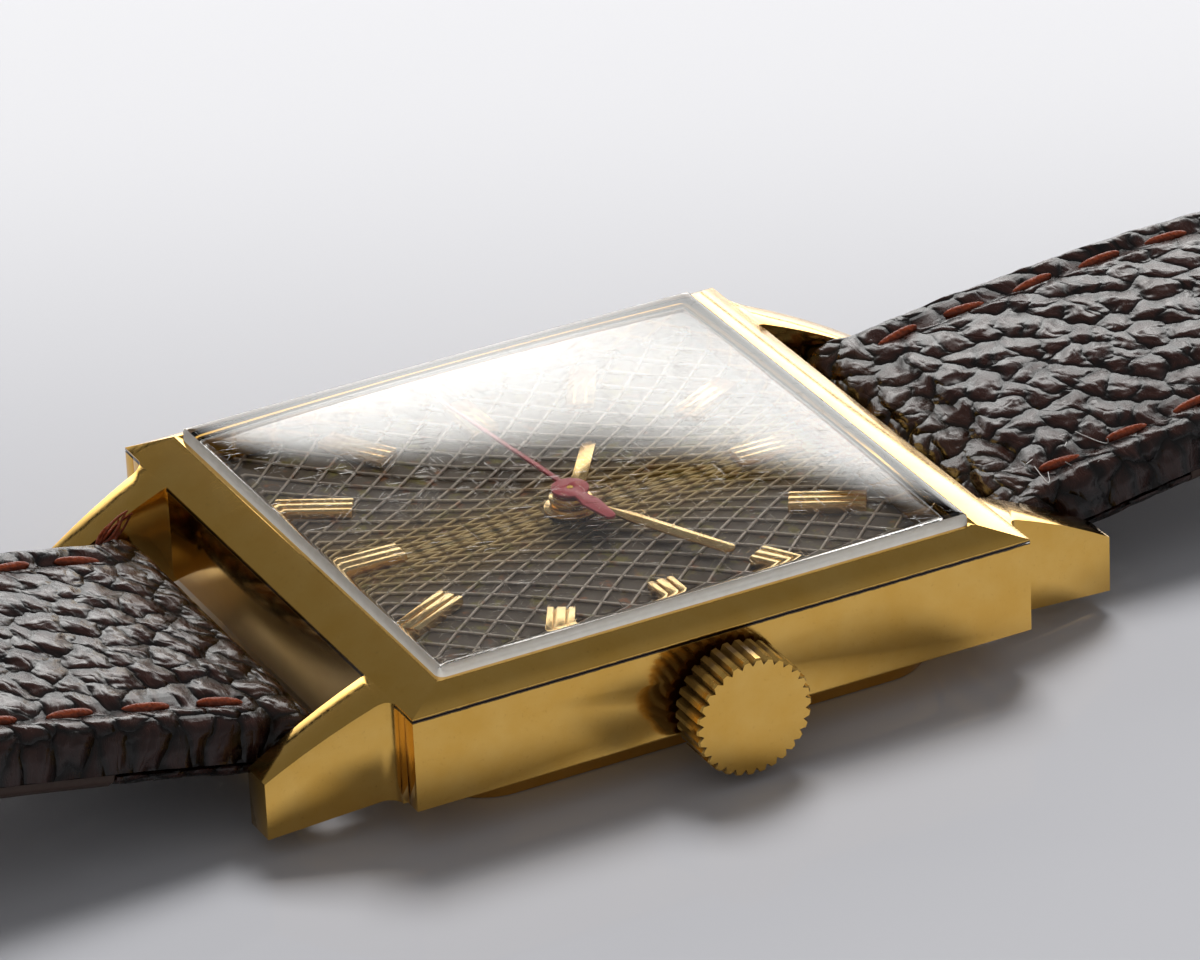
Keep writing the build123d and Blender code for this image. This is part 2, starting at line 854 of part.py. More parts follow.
with BuildPart() as seconds_hand:
    with BuildSketch(hand_plane(seconds_level, seconds_angle)):
        with BuildLine():
            Polyline(
                (0, -seconds_needle_root / 2),
                (seconds_hand_length, -seconds_needle_tip / 2),
                (seconds_hand_length, seconds_needle_tip / 2),
                (0, seconds_needle_root / 2),
                (-seconds_tail / 2, seconds_tail_width / 2),
                (-seconds_tail + seconds_tail_root / 2, seconds_tail_root / 2),
            )
            ThreePointArc(
                (-seconds_tail + seconds_tail_root / 2, seconds_tail_root / 2),
                (-seconds_tail, 0),
                (-seconds_tail + seconds_tail_root / 2, -seconds_tail_root / 2),
            )
            Polyline(
                (-seconds_tail + seconds_tail_root / 2, -seconds_tail_root / 2),
                (-seconds_tail / 2, -seconds_tail_width / 2),
                (0, -seconds_needle_root / 2),
            )
        make_face()
        Circle(seconds_disc)
    extrude(amount=hand_thickness)
    with BuildSketch(Plane.XY.offset(seconds_level - hand_gap / 2)):
        Circle(seconds_pipe)
    extrude(amount=hand_gap / 2)
    with BuildSketch(Plane.XY.offset(seconds_level - hand_gap)):
        Circle(seconds_arbor)
    extrude(amount=hand_gap + hand_thickness + hand_gap / 2, mode=Mode.SUBTRACT)
seconds_hand.part.label = "seconds_hand"
export_step(seconds_hand.part, "parts/seconds_hand.step")

# Main plate: pockets for the barrel, the motion work and the setting parts
window_start = sliding_pinion_start - crown_pull - pinion_gap * 4
window_end = winding_pinion_end + pinion_gap
window_middle = (window_start + window_end) / 2
window_half = winding_pinion_radius + pinion_gap
barrel_gear_tip = barrel_teeth * barrel_module / 2 + addendum_share * barrel_module
hour_pitch = hour_teeth * motion_module / 2
minute_pitch = minute_teeth * motion_module / 2
setting_pitch = setting_teeth * motion_module / 2
screw_ring = movement_radius - screw_head * 2
barrel_screws = [around(screw_ring, angle) for angle in barrel_screw_angles]
train_foot_place = around(movement_radius * train_foot_share, train_foot_angle)
train_screws = [around(screw_ring, angle) for angle in train_screw_angles] + [train_foot_place]
cock_foot_place = around(movement_radius - cock_foot_radius - bridge_margin, cock_foot_angle)
pallet_foot_place = around(pallet_foot_reach, pallet_line + 90, pallet_place)
lever_pin_x = groove_place + stem_groove / 2
lever_place = (lever_pin_x + crown_pull / 2, lever_reach)
yoke_finger_x = (sliding_pinion_start + sliding_pinion_end) / 2
yoke_place = (yoke_finger_x - crown_pull / 2, -yoke_reach - yoke_finger_end)
lever_low = motion_level + pinion_gap
screw_end = plate_under + screw_depth
pinion_posts = [minute_wheel_place, setting_place, lever_place, yoke_place]

with BuildPart() as main_plate:
    with BuildSketch(Plane.XY.offset(plate_under)):
        Circle(movement_radius)
    extrude(amount=plate_thickness)
    with BuildSketch(Plane.XY.offset(flange_low)):
        Circle(flange_radius)
    extrude(amount=flange_thickness)
    with BuildSketch(at(barrel_place, plate_under)):
        Circle(drum_radius + wheel_room)
    extrude(amount=drum_top + pinion_gap * 2 - plate_under, mode=Mode.SUBTRACT)
    with BuildSketch(Plane.XY.offset(motion_level)):
        Circle(hour_pitch + motion_room)
        with Locations(minute_wheel_place):
            Circle(minute_pitch + motion_room)
        with Locations(setting_place):
            Circle(setting_pitch + motion_room)
    extrude(amount=motion_floor, mode=Mode.SUBTRACT)
    with BuildSketch(Plane.XY.offset(motion_level)):
        with Locations((window_start, (lever_place[1] + yoke_place[1]) / 2)):
            Rectangle(
                movement_radius,
                lever_place[1] - yoke_place[1] + 2 * lever_width,
                align=(Align.MIN, Align.CENTER),
            )
        Circle(movement_radius - keyless_pocket_rim, mode=Mode.INTERSECT)
    extrude(amount=motion_floor, mode=Mode.SUBTRACT)
    with BuildSketch(Plane.XY.offset(plate_under)):
        with Locations((window_middle, 0)):
            Rectangle(window_end - window_start, 2 * window_half)
        Circle(hollow_arbor + pipe_fit)
        with Locations(*foot_places):
            Circle(dial_foot_radius + pivot_fit)
    extrude(amount=plate_thickness, mode=Mode.SUBTRACT)
    with BuildSketch(stem_plane(window_middle)):
        Circle(stem_radius + stem_fit)
    extrude(amount=movement_radius, mode=Mode.SUBTRACT)
    with BuildSketch(stem_plane(stem_inner_end - stem_fit)):
        Circle(stem_pilot_radius + stem_fit)
    extrude(amount=window_middle - stem_inner_end, mode=Mode.SUBTRACT)
    with BuildSketch(Plane.XY.offset(crown_axis_height)):
        with Locations((lever_pin_x + crown_pull / 2, 0)):
            Rectangle(crown_pull + lever_pin * 4, lever_pin * 4)
    extrude(amount=plate_over_stem, mode=Mode.SUBTRACT)
    with BuildSketch(at(balance_place, plate_under)):
        Circle(roller_radius + wheel_room)
    extrude(amount=roller_thickness * 2, mode=Mode.SUBTRACT)
    with BuildSketch(at(balance_place, plate_under)):
        Circle(jewel_radius)
    extrude(amount=roller_thickness * 2 + jewel_thickness, mode=Mode.SUBTRACT)
    with BuildSketch(Plane.XY.offset(plate_under)):
        with Locations(third_place, escape_place, pallet_place):
            Circle(jewel_radius)
    extrude(amount=jewel_thickness, mode=Mode.SUBTRACT)
    with BuildSketch(Plane.XY.offset(plate_under)):
        with Locations(*barrel_screws, *train_screws, cock_foot_place, pallet_foot_place):
            Circle(screw_shank + pivot_fit)
    extrude(amount=screw_depth + pinion_gap, mode=Mode.SUBTRACT)
    with BuildSketch(at(barrel_place, drum_top)):
        Circle(barrel_pivot + pivot_fit)
    extrude(amount=screw_head + pinion_gap, mode=Mode.SUBTRACT)
    with BuildSketch(Plane.XY.offset(motion_level - pinion_gap)):
        with Locations(*pinion_posts):
            Circle(post_radius)
    extrude(amount=lever_thickness + wheel_room + pinion_gap)
main_plate.part.label = "main_plate"
export_step(main_plate.part, "parts/main_plate.step")


# Bridges: each stands on the plate on its own feet and holds the lower pivots
def screw_pocket(places, low):
    """Cutters for the countersunk heads and the shanks of screws put in from below."""
    with BuildPart() as cutters:
        with BuildSketch(Plane.XY.offset(low - cut_over)):
            with Locations(*places):
                Circle(screw_head + pivot_fit)
        extrude(amount=cut_over + screw_head_height + pivot_fit)
        with BuildSketch(Plane.XY.offset(low)):
            with Locations(*places):
                Circle(screw_shank + pivot_fit)
        extrude(amount=plate_under - low + cut_over)
    return cutters.part


def slotted_screws(places, low, head, shank, head_height, end):
    """Slotted screws with their heads downward."""
    with BuildPart() as screws:
        with BuildSketch(Plane.XY.offset(low)):
            with Locations(*places):
                Circle(head)
        extrude(amount=head_height)
        with BuildSketch(Plane.XY.offset(low)):
            with Locations(*places):
                Circle(shank)
        extrude(amount=end - low)
        with BuildSketch(Plane.XY.offset(low)):
            with Locations(*places):
                Rectangle(head * 3, screw_slot)
        extrude(amount=head_height / 2, mode=Mode.SUBTRACT)
    return screws.part


crown_ring_outer = crown_wheel_teeth * winding_module / 2 - pinion_gap
crown_ring_top = crown_axis_height - winding_pinion_radius - pivot_fit
crown_recess_top = crown_ring_top + pinion_gap * 1.4
crown_post = 0.8
centre_room = centre_teeth * centre_module / 2 + addendum_share * centre_module + wheel_room / 2
third_room = third_teeth * third_module / 2 + addendum_share * third_module + wheel_room / 2
bridge_radius = movement_radius - wheel_room / 2
ratchet_room = ratchet_teeth * winding_module / 2 + addendum_share * winding_module + wheel_room
ratchet_tip = ratchet_teeth * winding_module / 2 + addendum_share * winding_module
click_place = around(ratchet_tip + click_gap + click_radius * 1.5, click_angle, barrel_place)
click_spring_foot = around(ratchet_tip + click_radius * 3, click_angle - click_spring_turn, barrel_place)

with BuildPart() as barrel_bridge:
    with BuildSketch(Plane.XY.offset(barrel_bridge_low)) as bridge_plan:
        with Locations((0, bridge_line)):
            Rectangle(2 * movement_radius, movement_radius, align=(Align.CENTER, Align.MIN))
        with Locations((bridge_side_x, bridge_side_y)):
            Rectangle(movement_radius, movement_radius, align=(Align.MIN, Align.MIN))
        Circle(bridge_radius, mode=Mode.INTERSECT)
        Circle(centre_room, mode=Mode.SUBTRACT)
        with Locations(third_place):
            Circle(third_room, mode=Mode.SUBTRACT)
    extrude(amount=barrel_bridge_thickness)
    with BuildSketch(Plane.XY.offset(barrel_bridge_top)):
        add(bridge_plan.sketch.moved(Location((0, 0, -barrel_bridge_low))))
        with Locations(barrel_place):
            Circle(barrel_gear_tip + wheel_room, mode=Mode.SUBTRACT)
        with Locations(escape_place):
            Circle(escape_radius + wheel_room, mode=Mode.SUBTRACT)
        with Locations((window_middle, 0)):
            Rectangle(window_end - window_start, 2 * window_half, mode=Mode.SUBTRACT)
    extrude(amount=plate_under - barrel_bridge_top)
    with BuildSketch(at(crown_wheel_place, barrel_bridge_low)):
        Circle(crown_ring_outer + wheel_room / 2)
    extrude(amount=crown_recess_top - barrel_bridge_low, mode=Mode.SUBTRACT)
    with BuildSketch(at(crown_wheel_place, ratchet_low)):
        Circle(crown_post)
    extrude(amount=crown_recess_top - ratchet_low)
    with BuildSketch(Plane.XY.offset(barrel_bridge_low)):
        with Locations((winding_pinion_start - pinion_gap, 0)):
            Rectangle(
                winding_pinion_length + pinion_gap * 2, 2 * window_half, align=(Align.MIN, Align.CENTER)
            )
        with Locations(barrel_place):
            Circle(barrel_shaft + pivot_fit * 2)
    extrude(amount=plate_under - barrel_bridge_low, mode=Mode.SUBTRACT)
    with BuildSketch(at(crown_wheel_place, ratchet_low)):
        Circle(screw_shank)
    extrude(amount=crown_recess_top - ratchet_low - pinion_gap, mode=Mode.SUBTRACT)
    add(screw_pocket(barrel_screws, barrel_bridge_low), mode=Mode.SUBTRACT)
    with BuildSketch(at(click_place, ratchet_low)):
        Circle(post_radius)
    extrude(amount=barrel_bridge_low - ratchet_low)
barrel_bridge.part.label = "barrel_bridge"
export_step(barrel_bridge.part, "parts/barrel_bridge.step")

balance_room = balance_radius + wheel_room
train_line = bridge_line - 2 * bridge_margin
train_foot_edge = third_place[0] - third_room - bridge_margin

with BuildPart() as train_bridge:
    with BuildSketch(Plane.XY.offset(train_bridge_low)):
        with BuildLine():
            Polyline(
                (-movement_radius, train_line),
                (bridge_side_x - bridge_margin, train_line),
                (bridge_side_x - bridge_margin, bridge_side_y - bridge_margin),
                (train_corner_x, train_foot_place[1] + screw_head * 1.5),
                (train_corner_x, train_foot_place[1] - screw_head * 1.5),
                (-movement_radius, train_low_y),
                close=True,
            )
        make_face()
        Circle(bridge_radius, mode=Mode.INTERSECT)
        with Locations(barrel_place):
            Circle(ratchet_room, mode=Mode.SUBTRACT)
        with Locations(balance_place):
            Circle(balance_room, mode=Mode.SUBTRACT)
    extrude(amount=bridge_thickness)
    with BuildSketch(Plane.XY.offset(train_bridge_top)):
        with Locations((train_foot_edge, (train_line + train_low_y) / 2)):
            Rectangle(movement_radius, train_line - train_low_y, align=(Align.MAX, Align.CENTER))
        Circle(bridge_radius, mode=Mode.INTERSECT)
        with Locations(train_foot_place):
            Circle(pallet_foot_radius)
    extrude(amount=plate_under - train_bridge_top)
    with BuildSketch(Plane.XY.offset(train_bridge_top)):
        with Locations(centre, third_place, escape_place):
            Circle(jewel_radius)
    extrude(amount=-jewel_thickness, mode=Mode.SUBTRACT)
    add(screw_pocket(train_screws, train_bridge_low), mode=Mode.SUBTRACT)
train_bridge.part.label = "train_bridge"
export_step(train_bridge.part, "parts/train_bridge.step")

cock_line = bearing(balance_place, cock_foot_place)
cock_middle = around(spread(balance_place, cock_foot_place) / 2, cock_line, balance_place)
stud_place = around(hairspring_gap * 10, cock_line, balance_place)

with BuildPart() as balance_cock:
    with BuildSketch(Plane.XY.offset(cock_low)):
        with Locations(cock_middle):
            SlotCenterToCenter(spread(balance_place, cock_foot_place), cock_width, rotation=cock_line)
    extrude(amount=cock_thickness)
    with BuildSketch(at(cock_foot_place, cock_low)):
        Circle(cock_foot_radius)
    extrude(amount=plate_under - cock_low)
    with BuildSketch(at(stud_place, cock_low)):
        Circle(impulse_radius)
    extrude(amount=hairspring_low + hairspring_height - cock_low)
    with BuildSketch(at(balance_place, cock_top)):
        Circle(jewel_radius)
    extrude(amount=-jewel_thickness, mode=Mode.SUBTRACT)
    add(screw_pocket([cock_foot_place], cock_low), mode=Mode.SUBTRACT)
balance_cock.part.label = "balance_cock"
export_step(balance_cock.part, "parts/balance_cock.step")

pallet_middle = around(pallet_foot_reach / 2, pallet_line + 90, pallet_place)

with BuildPart() as pallet_cock:
    with BuildSketch(Plane.XY.offset(pallet_cock_low)):
        with Locations(pallet_middle):
            SlotCenterToCenter(pallet_foot_reach, 2 * pallet_foot_radius, rotation=pallet_line + 90)
    extrude(amount=pallet_cock_top - pallet_cock_low)
    with BuildSketch(at(pallet_foot_place, pallet_cock_top)):
        Circle(pallet_foot_radius)
    extrude(amount=plate_under - pallet_cock_top)
    with BuildSketch(at(pallet_place, pallet_cock_top)):
        Circle(jewel_radius)
    extrude(amount=-jewel_thickness, mode=Mode.SUBTRACT)
    add(screw_pocket([pallet_foot_place], pallet_cock_low), mode=Mode.SUBTRACT)
pallet_cock.part.label = "pallet_cock"
export_step(pallet_cock.part, "parts/pallet_cock.step")

# Jewels pressed into the plate, the bridges and the cocks
roller_pocket_top = plate_under + roller_thickness * 2
jewel_seats = [
    (centre, train_bridge_top - jewel_thickness, seconds_arbor),
    (third_place, train_bridge_top - jewel_thickness, pivot_radius),
    (escape_place, train_bridge_top - jewel_thickness, pivot_radius),
    (balance_place, cock_top - jewel_thickness, pivot_radius),
    (pallet_place, pallet_cock_top - jewel_thickness, pivot_radius),
    (third_place, plate_under, pivot_radius),
    (escape_place, plate_under, pivot_radius),
    (pallet_place, plate_under, pivot_radius),
    (balance_place, roller_pocket_top, pivot_radius),
]

with BuildPart() as jewels:
    for place, low, pivot in jewel_seats:
        with BuildSketch(at(place, low)):
            Circle(jewel_radius)
            Circle(pivot + pivot_fit, mode=Mode.SUBTRACT)
        extrude(amount=jewel_thickness)
jewels.part.label = "jewels"
export_step(jewels.part, "parts/jewels.step")

# Slotted steel screws of the bridges, the cocks and the crown wheel, heads toward the case back
winding_head_low = ratchet_low - winding_head_height
winding_screw_end = ratchet_low + ratchet_thickness

with BuildPart() as bridge_screws:
    for places, low in (
        (barrel_screws, barrel_bridge_low),
        (train_screws, train_bridge_low),
        ([cock_foot_place], cock_low),
        ([pallet_foot_place], pallet_cock_low),
    ):
        add(slotted_screws(places, low, screw_head, screw_shank, screw_head_height, screw_end))
    add(
        slotted_screws(
            [crown_wheel_place],
            winding_head_low,
            winding_head,
            screw_shank,
            winding_head_height,
            winding_screw_end,
        )
    )
bridge_screws.part.label = "bridge_screws"
export_step(bridge_screws.part, "parts/bridge_screws.step")


# Barrel: toothed drum with its lid, the mainspring inside and the arbor through it
def meshed_phase(phase, line, teeth, mate):
    """The phase that sets a wheel's gap over the tooth of the wheel that drives it."""
    return line + 180 - (phase - line) * teeth / mate + 180 / mate


with BuildPart() as barrel:
    add(toothed_disc(barrel_place, barrel_gear_low, barrel_gear_top, barrel_teeth, barrel_module, 0))
    add(round_bar(barrel_place, barrel_gear_top, drum_top, drum_radius))
    with BuildSketch(at(barrel_place, barrel_gear_top)):
        Circle(drum_radius - drum_wall)
    extrude(amount=drum_height - drum_cover, mode=Mode.SUBTRACT)
    with BuildSketch(at(barrel_place, barrel_gear_low)):
        Circle(barrel_shaft + pivot_fit * 2)
    extrude(amount=barrel_gear_thickness, mode=Mode.SUBTRACT)
    with BuildSketch(at(barrel_place, barrel_gear_low)):
        Circle(barrel_pivot + pivot_fit * 2)
    extrude(amount=drum_top - barrel_gear_low, mode=Mode.SUBTRACT)
barrel.part.label = "barrel"
export_step(barrel.part, "parts/barrel.step")

spring_height = drum_height - drum_cover - pinion_gap * 2
mainspring_start = barrel_core + mainspring_gap / 2
mainspring = spiral_strip(
    barrel_place,
    barrel_gear_top + pinion_gap,
    spring_height,
    mainspring_start,
    mainspring_strip,
    mainspring_gap,
    mainspring_half_turns,
)
mainspring.label = "mainspring"
export_step(mainspring, "parts/mainspring.step")

square_fit = ratchet_square - 2 * pivot_fit

with BuildPart() as barrel_arbor:
    with BuildSketch(at(barrel_place, ratchet_low)):
        Rectangle(square_fit, square_fit)
    extrude(amount=ratchet_thickness + ratchet_drop)
    add(round_bar(barrel_place, ratchet_top + pivot_fit, barrel_gear_top, barrel_shaft))
    add(round_bar(barrel_place, barrel_gear_top, barrel_gear_top + spring_height, barrel_core))
    add(round_bar(barrel_place, barrel_gear_top, drum_top + screw_head, barrel_pivot))
    with BuildSketch(at(barrel_place, ratchet_low)):
        Circle(screw_shank)
    extrude(amount=ratchet_thickness * 2, mode=Mode.SUBTRACT)
barrel_arbor.part.label = "barrel_arbor"
export_step(barrel_arbor.part, "parts/barrel_arbor.step")

# Winding wheels under the barrel bridge, with the click and its spring
crown_wheel_line = bearing(crown_wheel_place, barrel_place)
ratchet_phase = meshed_phase(0, crown_wheel_line, crown_wheel_teeth, ratchet_teeth)

with BuildPart() as ratchet_wheel:
    add(toothed_disc(barrel_place, ratchet_low, ratchet_top, ratchet_teeth, winding_module, ratchet_phase))
    with BuildSketch(at(barrel_place, ratchet_low)):
        Rectangle(ratchet_square, ratchet_square)
    extrude(amount=ratchet_thickness, mode=Mode.SUBTRACT)
ratchet_wheel.part.label = "ratchet_wheel"
export_step(ratchet_wheel.part, "parts/ratchet_wheel.step")

crown_post_fit = crown_post + pivot_fit * 2

with BuildPart() as crown_wheel:
    add(toothed_disc(crown_wheel_place, ratchet_low, ratchet_top, crown_wheel_teeth, winding_module, 0))
    add(round_bar(crown_wheel_place, ratchet_top, crown_ring_top, crown_ring_outer))
    with BuildSketch(at(crown_wheel_place, crown_ring_top - pinion_tooth_depth)):
        with PolarLocations(crown_ring_outer, crown_wheel_teeth):
            Rectangle(crown_post, pinion_tooth_depth)
    extrude(amount=pinion_tooth_depth, mode=Mode.SUBTRACT)
    with BuildSketch(at(crown_wheel_place, ratchet_low)):
        Circle(crown_post_fit)
    extrude(amount=crown_ring_top - ratchet_low, mode=Mode.SUBTRACT)
crown_wheel.part.label = "crown_wheel"
export_step(crown_wheel.part, "parts/crown_wheel.step")

ratchet_screw = slotted_screws(
    [barrel_place], winding_head_low, winding_head, screw_shank, winding_head_height, winding_screw_end
)
ratchet_screw.label = "ratchet_screw"
export_step(ratchet_screw, "parts/ratchet_screw.step")

click_beak = post_radius * 1.6
click_tip = around(ratchet_tip + click_gap + click_beak / 2, click_angle + click_tip_turn, barrel_place)
click_line = bearing(click_place, click_tip)
click_middle = around(spread(click_place, click_tip) / 2, click_line, click_place)

with BuildPart() as click:
    with BuildSketch(at(click_place, ratchet_low)):
        Circle(click_radius)
    with BuildSketch(at(click_middle, ratchet_low)):
        SlotCenterToCenter(spread(click_place, click_tip), click_beak, rotation=click_line)
    extrude(amount=ratchet_thickness)
    with BuildSketch(at(click_place, ratchet_low)):
        Circle(post_radius + pivot_fit * 2)
    extrude(amount=ratchet_thickness, mode=Mode.SUBTRACT)
click.part.label = "click"
export_step(click.part, "parts/click.step")

spring_side = bearing(barrel_place, click_place)
spring_end = around(click_radius + click_spring_wire, spring_side, click_place)
spring_line = bearing(click_spring_foot, spring_end)
spring_middle = around(spread(click_spring_foot, spring_end) / 2, spring_line, click_spring_foot)

with BuildPart() as click_spring:
    with BuildSketch(at(click_spring_foot, ratchet_low)):
        Circle(click_radius)
    extrude(amount=barrel_bridge_low - ratchet_low)
    with BuildSketch(at(spring_middle, ratchet_low + pinion_gap)):
        SlotCenterToCenter(spread(click_spring_foot, spring_end), click_spring_wire, rotation=spring_line)
    extrude(amount=ratchet_thickness - pinion_gap)
click_spring.part.label = "click_spring"
export_step(click_spring.part, "parts/click_spring.step")

# Going train: each wheel and its pinion turn on one steel arbor
arbor_low = train_bridge_top + pinion_gap
arbor_top = plate_under - pinion_gap
pivot_low = train_bridge_top - jewel_thickness
pivot_top = plate_under + jewel_thickness
centre_pinion_phase = meshed_phase(0, barrel_angle + 180, barrel_teeth, centre_leaves)
centre_pinion_low = centre_wheel_top
centre_pinion_top = arbor_top
third_pinion_phase = meshed_phase(0, third_angle, centre_teeth, third_leaves)
seconds_pinion_phase = meshed_phase(0, third_angle + 180, third_teeth, seconds_leaves)
escape_pinion_phase = meshed_phase(0, escape_angle, seconds_teeth, escape_leaves)

with BuildPart() as centre_wheel:
    add(crossed_wheel(centre, centre_wheel_low, centre_wheel_top, centre_teeth, centre_module, 0, 4))
    add(
        toothed_disc(
            centre, centre_pinion_low, centre_pinion_top, centre_leaves, barrel_module, centre_pinion_phase
        )
    )
    add(round_bar(centre, centre_wheel_low, hour_level + collar_height, hollow_arbor))
    with BuildSketch(Plane.XY.offset(centre_wheel_low)):
        Circle(hollow_bore)
    extrude(amount=hour_level + collar_height - centre_wheel_low, mode=Mode.SUBTRACT)
centre_wheel.part.label = "centre_wheel"
export_step(centre_wheel.part, "parts/centre_wheel.step")

with BuildPart() as third_wheel:
    add(crossed_wheel(third_place, third_wheel_low, third_wheel_top, third_teeth, third_module, 0, 4))
    add(
        toothed_disc(
            third_place,
            centre_wheel_low - pinion_gap,
            centre_wheel_top + pinion_gap,
            third_leaves,
            centre_module,
            third_pinion_phase,
        )
    )
    add(round_bar(third_place, arbor_low, arbor_top, arbor_radius))
    add(round_bar(third_place, pivot_low, pivot_top, pivot_radius))
third_wheel.part.label = "third_wheel"
export_step(third_wheel.part, "parts/third_wheel.step")

with BuildPart() as seconds_wheel:
    add(crossed_wheel(centre, seconds_wheel_low, seconds_wheel_top, seconds_teeth, escape_module, 0, 4))
    add(
        toothed_disc(
            centre,
            third_wheel_low - pinion_gap,
            third_wheel_top + pinion_gap,
            seconds_leaves,
            third_module,
            seconds_pinion_phase,
        )
    )
    add(round_bar(centre, third_wheel_low - pinion_gap, seconds_wheel_top, arbor_radius))
    add(round_bar(centre, pivot_low, seconds_level + hand_thickness, seconds_arbor))
seconds_wheel.part.label = "seconds_wheel"
export_step(seconds_wheel.part, "parts/seconds_wheel.step")

escape_pinion_low = seconds_wheel_low - pinion_gap
escape_pinion_top = seconds_wheel_top + pinion_gap
escape_profile = ((escape_root, 0), (escape_radius, 0.2), (escape_radius, 0.32), (escape_root, 0.5))

with BuildPart() as escape_wheel:
    with BuildSketch(at(escape_place, escape_low)):
        with BuildLine():
            escape_corners = []
            for tooth in range(escape_wheel_teeth):
                for radius, turn in escape_profile:
                    escape_corners.append(around(radius, (tooth + turn) * full_turn / escape_wheel_teeth))
            Polyline(*escape_corners, close=True)
        make_face()
        Circle(escape_root - wheel_rim / 2, mode=Mode.SUBTRACT)
        Circle(escape_hub)
        with PolarLocations(escape_root / 2, 4):
            Rectangle(escape_root, wheel_arm)
    extrude(amount=wheel_thickness)
    add(
        toothed_disc(
            escape_place,
            escape_pinion_low,
            escape_pinion_top,
            escape_leaves,
            escape_module,
            escape_pinion_phase,
        )
    )
    add(round_bar(escape_place, arbor_low, escape_pinion_top, arbor_radius))
    add(round_bar(escape_place, escape_low, arbor_top, arbor_radius))
    add(round_bar(escape_place, pivot_low, pivot_top, pivot_radius))
escape_wheel.part.label = "escape_wheel"
export_step(escape_wheel.part, "parts/escape_wheel.step")

# Pallet fork with two ruby stones' arms, and the balance it drives
stone_angle = 30
stone_radius = escape_radius + pallet_clear + pallet_stone * 0.75
stone_places = [around(stone_radius, pallet_line + side * stone_angle, escape_place) for side in (1, -1)]
pallet_to_balance = spread(pallet_place, balance_place)
fork_end = pallet_to_balance - impulse_orbit - impulse_radius - pallet_clear
fork_middle = around(fork_end / 2, pallet_line, pallet_place)

with BuildPart() as pallet_fork:
    with BuildSketch(Plane.XY.offset(escape_low)):
        for stone_place in stone_places:
            arm_length = spread(pallet_place, stone_place)
            arm_angle = bearing(pallet_place, stone_place)
            with Locations(around(arm_length / 2, arm_angle, pallet_place)):
                SlotCenterToCenter(arm_length, pallet_arm, rotation=arm_angle)
        with Locations(fork_middle):
            Rectangle(fork_end, pallet_arm, rotation=pallet_line)
        with Locations(around(fork_end - pallet_arm / 2, pallet_line, pallet_place)):
            Rectangle(pallet_arm, pallet_arm * 3, rotation=pallet_line)
        with Locations(around(fork_end, pallet_line, pallet_place)):
            Rectangle(pallet_arm, pallet_fork_slot, rotation=pallet_line, mode=Mode.SUBTRACT)
        with Locations(pallet_place):
            Circle(pallet_arm)
    extrude(amount=wheel_thickness)
    add(round_bar(pallet_place, pallet_cock_top + pinion_gap, arbor_top, arbor_radius))
    add(round_bar(pallet_place, pallet_cock_top - jewel_thickness, pivot_top, pivot_radius))
pallet_fork.part.label = "pallet_fork"
export_step(pallet_fork.part, "parts/pallet_fork.step")

roller_low = escape_top + pivot_fit * 2
impulse_place = around(impulse_orbit, pallet_line + 180, balance_place)

with BuildPart() as balance_wheel:
    with BuildSketch(at(balance_place, balance_rim_low)):
        Circle(balance_radius)
        Circle(balance_radius - balance_rim, mode=Mode.SUBTRACT)
    extrude(amount=balance_rim_height)
    with BuildSketch(at(balance_place, balance_rim_low)):
        Rectangle(2 * balance_radius - balance_rim, balance_arm)
        Circle(balance_arm)
    extrude(amount=balance_arm_height)
    add(round_bar(balance_place, cock_top + pinion_gap, roller_low + roller_thickness, arbor_radius))
    add(round_bar(balance_place, hairspring_low, hairspring_low + hairspring_height, collet_radius))
    add(round_bar(balance_place, roller_low, roller_low + roller_thickness, roller_radius))
    add(round_bar(impulse_place, escape_low, roller_low, impulse_radius))
    staff_top = roller_pocket_top + jewel_thickness
    add(round_bar(balance_place, cock_top - jewel_thickness, staff_top, pivot_radius))
balance_wheel.part.label = "balance_wheel"
export_step(balance_wheel.part, "parts/balance_wheel.step")

hairspring = spiral_strip(
    balance_place,
    hairspring_low,
    hairspring_height,
    collet_radius + hairspring_gap / 2,
    hairspring_strip,
    hairspring_gap,
    hairspring_half_turns,
)
hairspring.label = "hairspring"
export_step(hairspring, "parts/hairspring.step")

# Motion work: twelve to one between the minute hand and the hour hand
motion_low = motion_level + pinion_gap
motion_gear = wheel_thickness + pivot_fit
hour_wheel_low = motion_low + motion_gear + wheel_room
hour_wheel_top = hour_wheel_low + motion_gear
cannon_top = minute_level + collar_height
minute_wheel_phase = meshed_phase(0, minute_wheel_angle, cannon_leaves, minute_teeth)
hour_wheel_phase = meshed_phase(0, minute_wheel_angle + 180, minute_leaves, hour_teeth)
setting_phase = meshed_phase(minute_wheel_phase, setting_wheel_angle, minute_teeth, setting_teeth)
post_fit = post_radius + pivot_fit * 2

with BuildPart() as cannon_pinion:
    add(toothed_disc(centre, motion_low, motion_low + wheel_room * 1.5, cannon_leaves, motion_module, 0))
    add(round_bar(centre, motion_low, cannon_top, cannon_pipe))
    with BuildSketch(Plane.XY.offset(motion_low)):
        Circle(hollow_arbor)
    extrude(amount=hour_level + collar_height - motion_low, mode=Mode.SUBTRACT)
    with BuildSketch(Plane.XY.offset(motion_low)):
        Circle(hollow_bore)
    extrude(amount=cannon_top - motion_low, mode=Mode.SUBTRACT)
cannon_pinion.part.label = "cannon_pinion"
export_step(cannon_pinion.part, "parts/cannon_pinion.step")

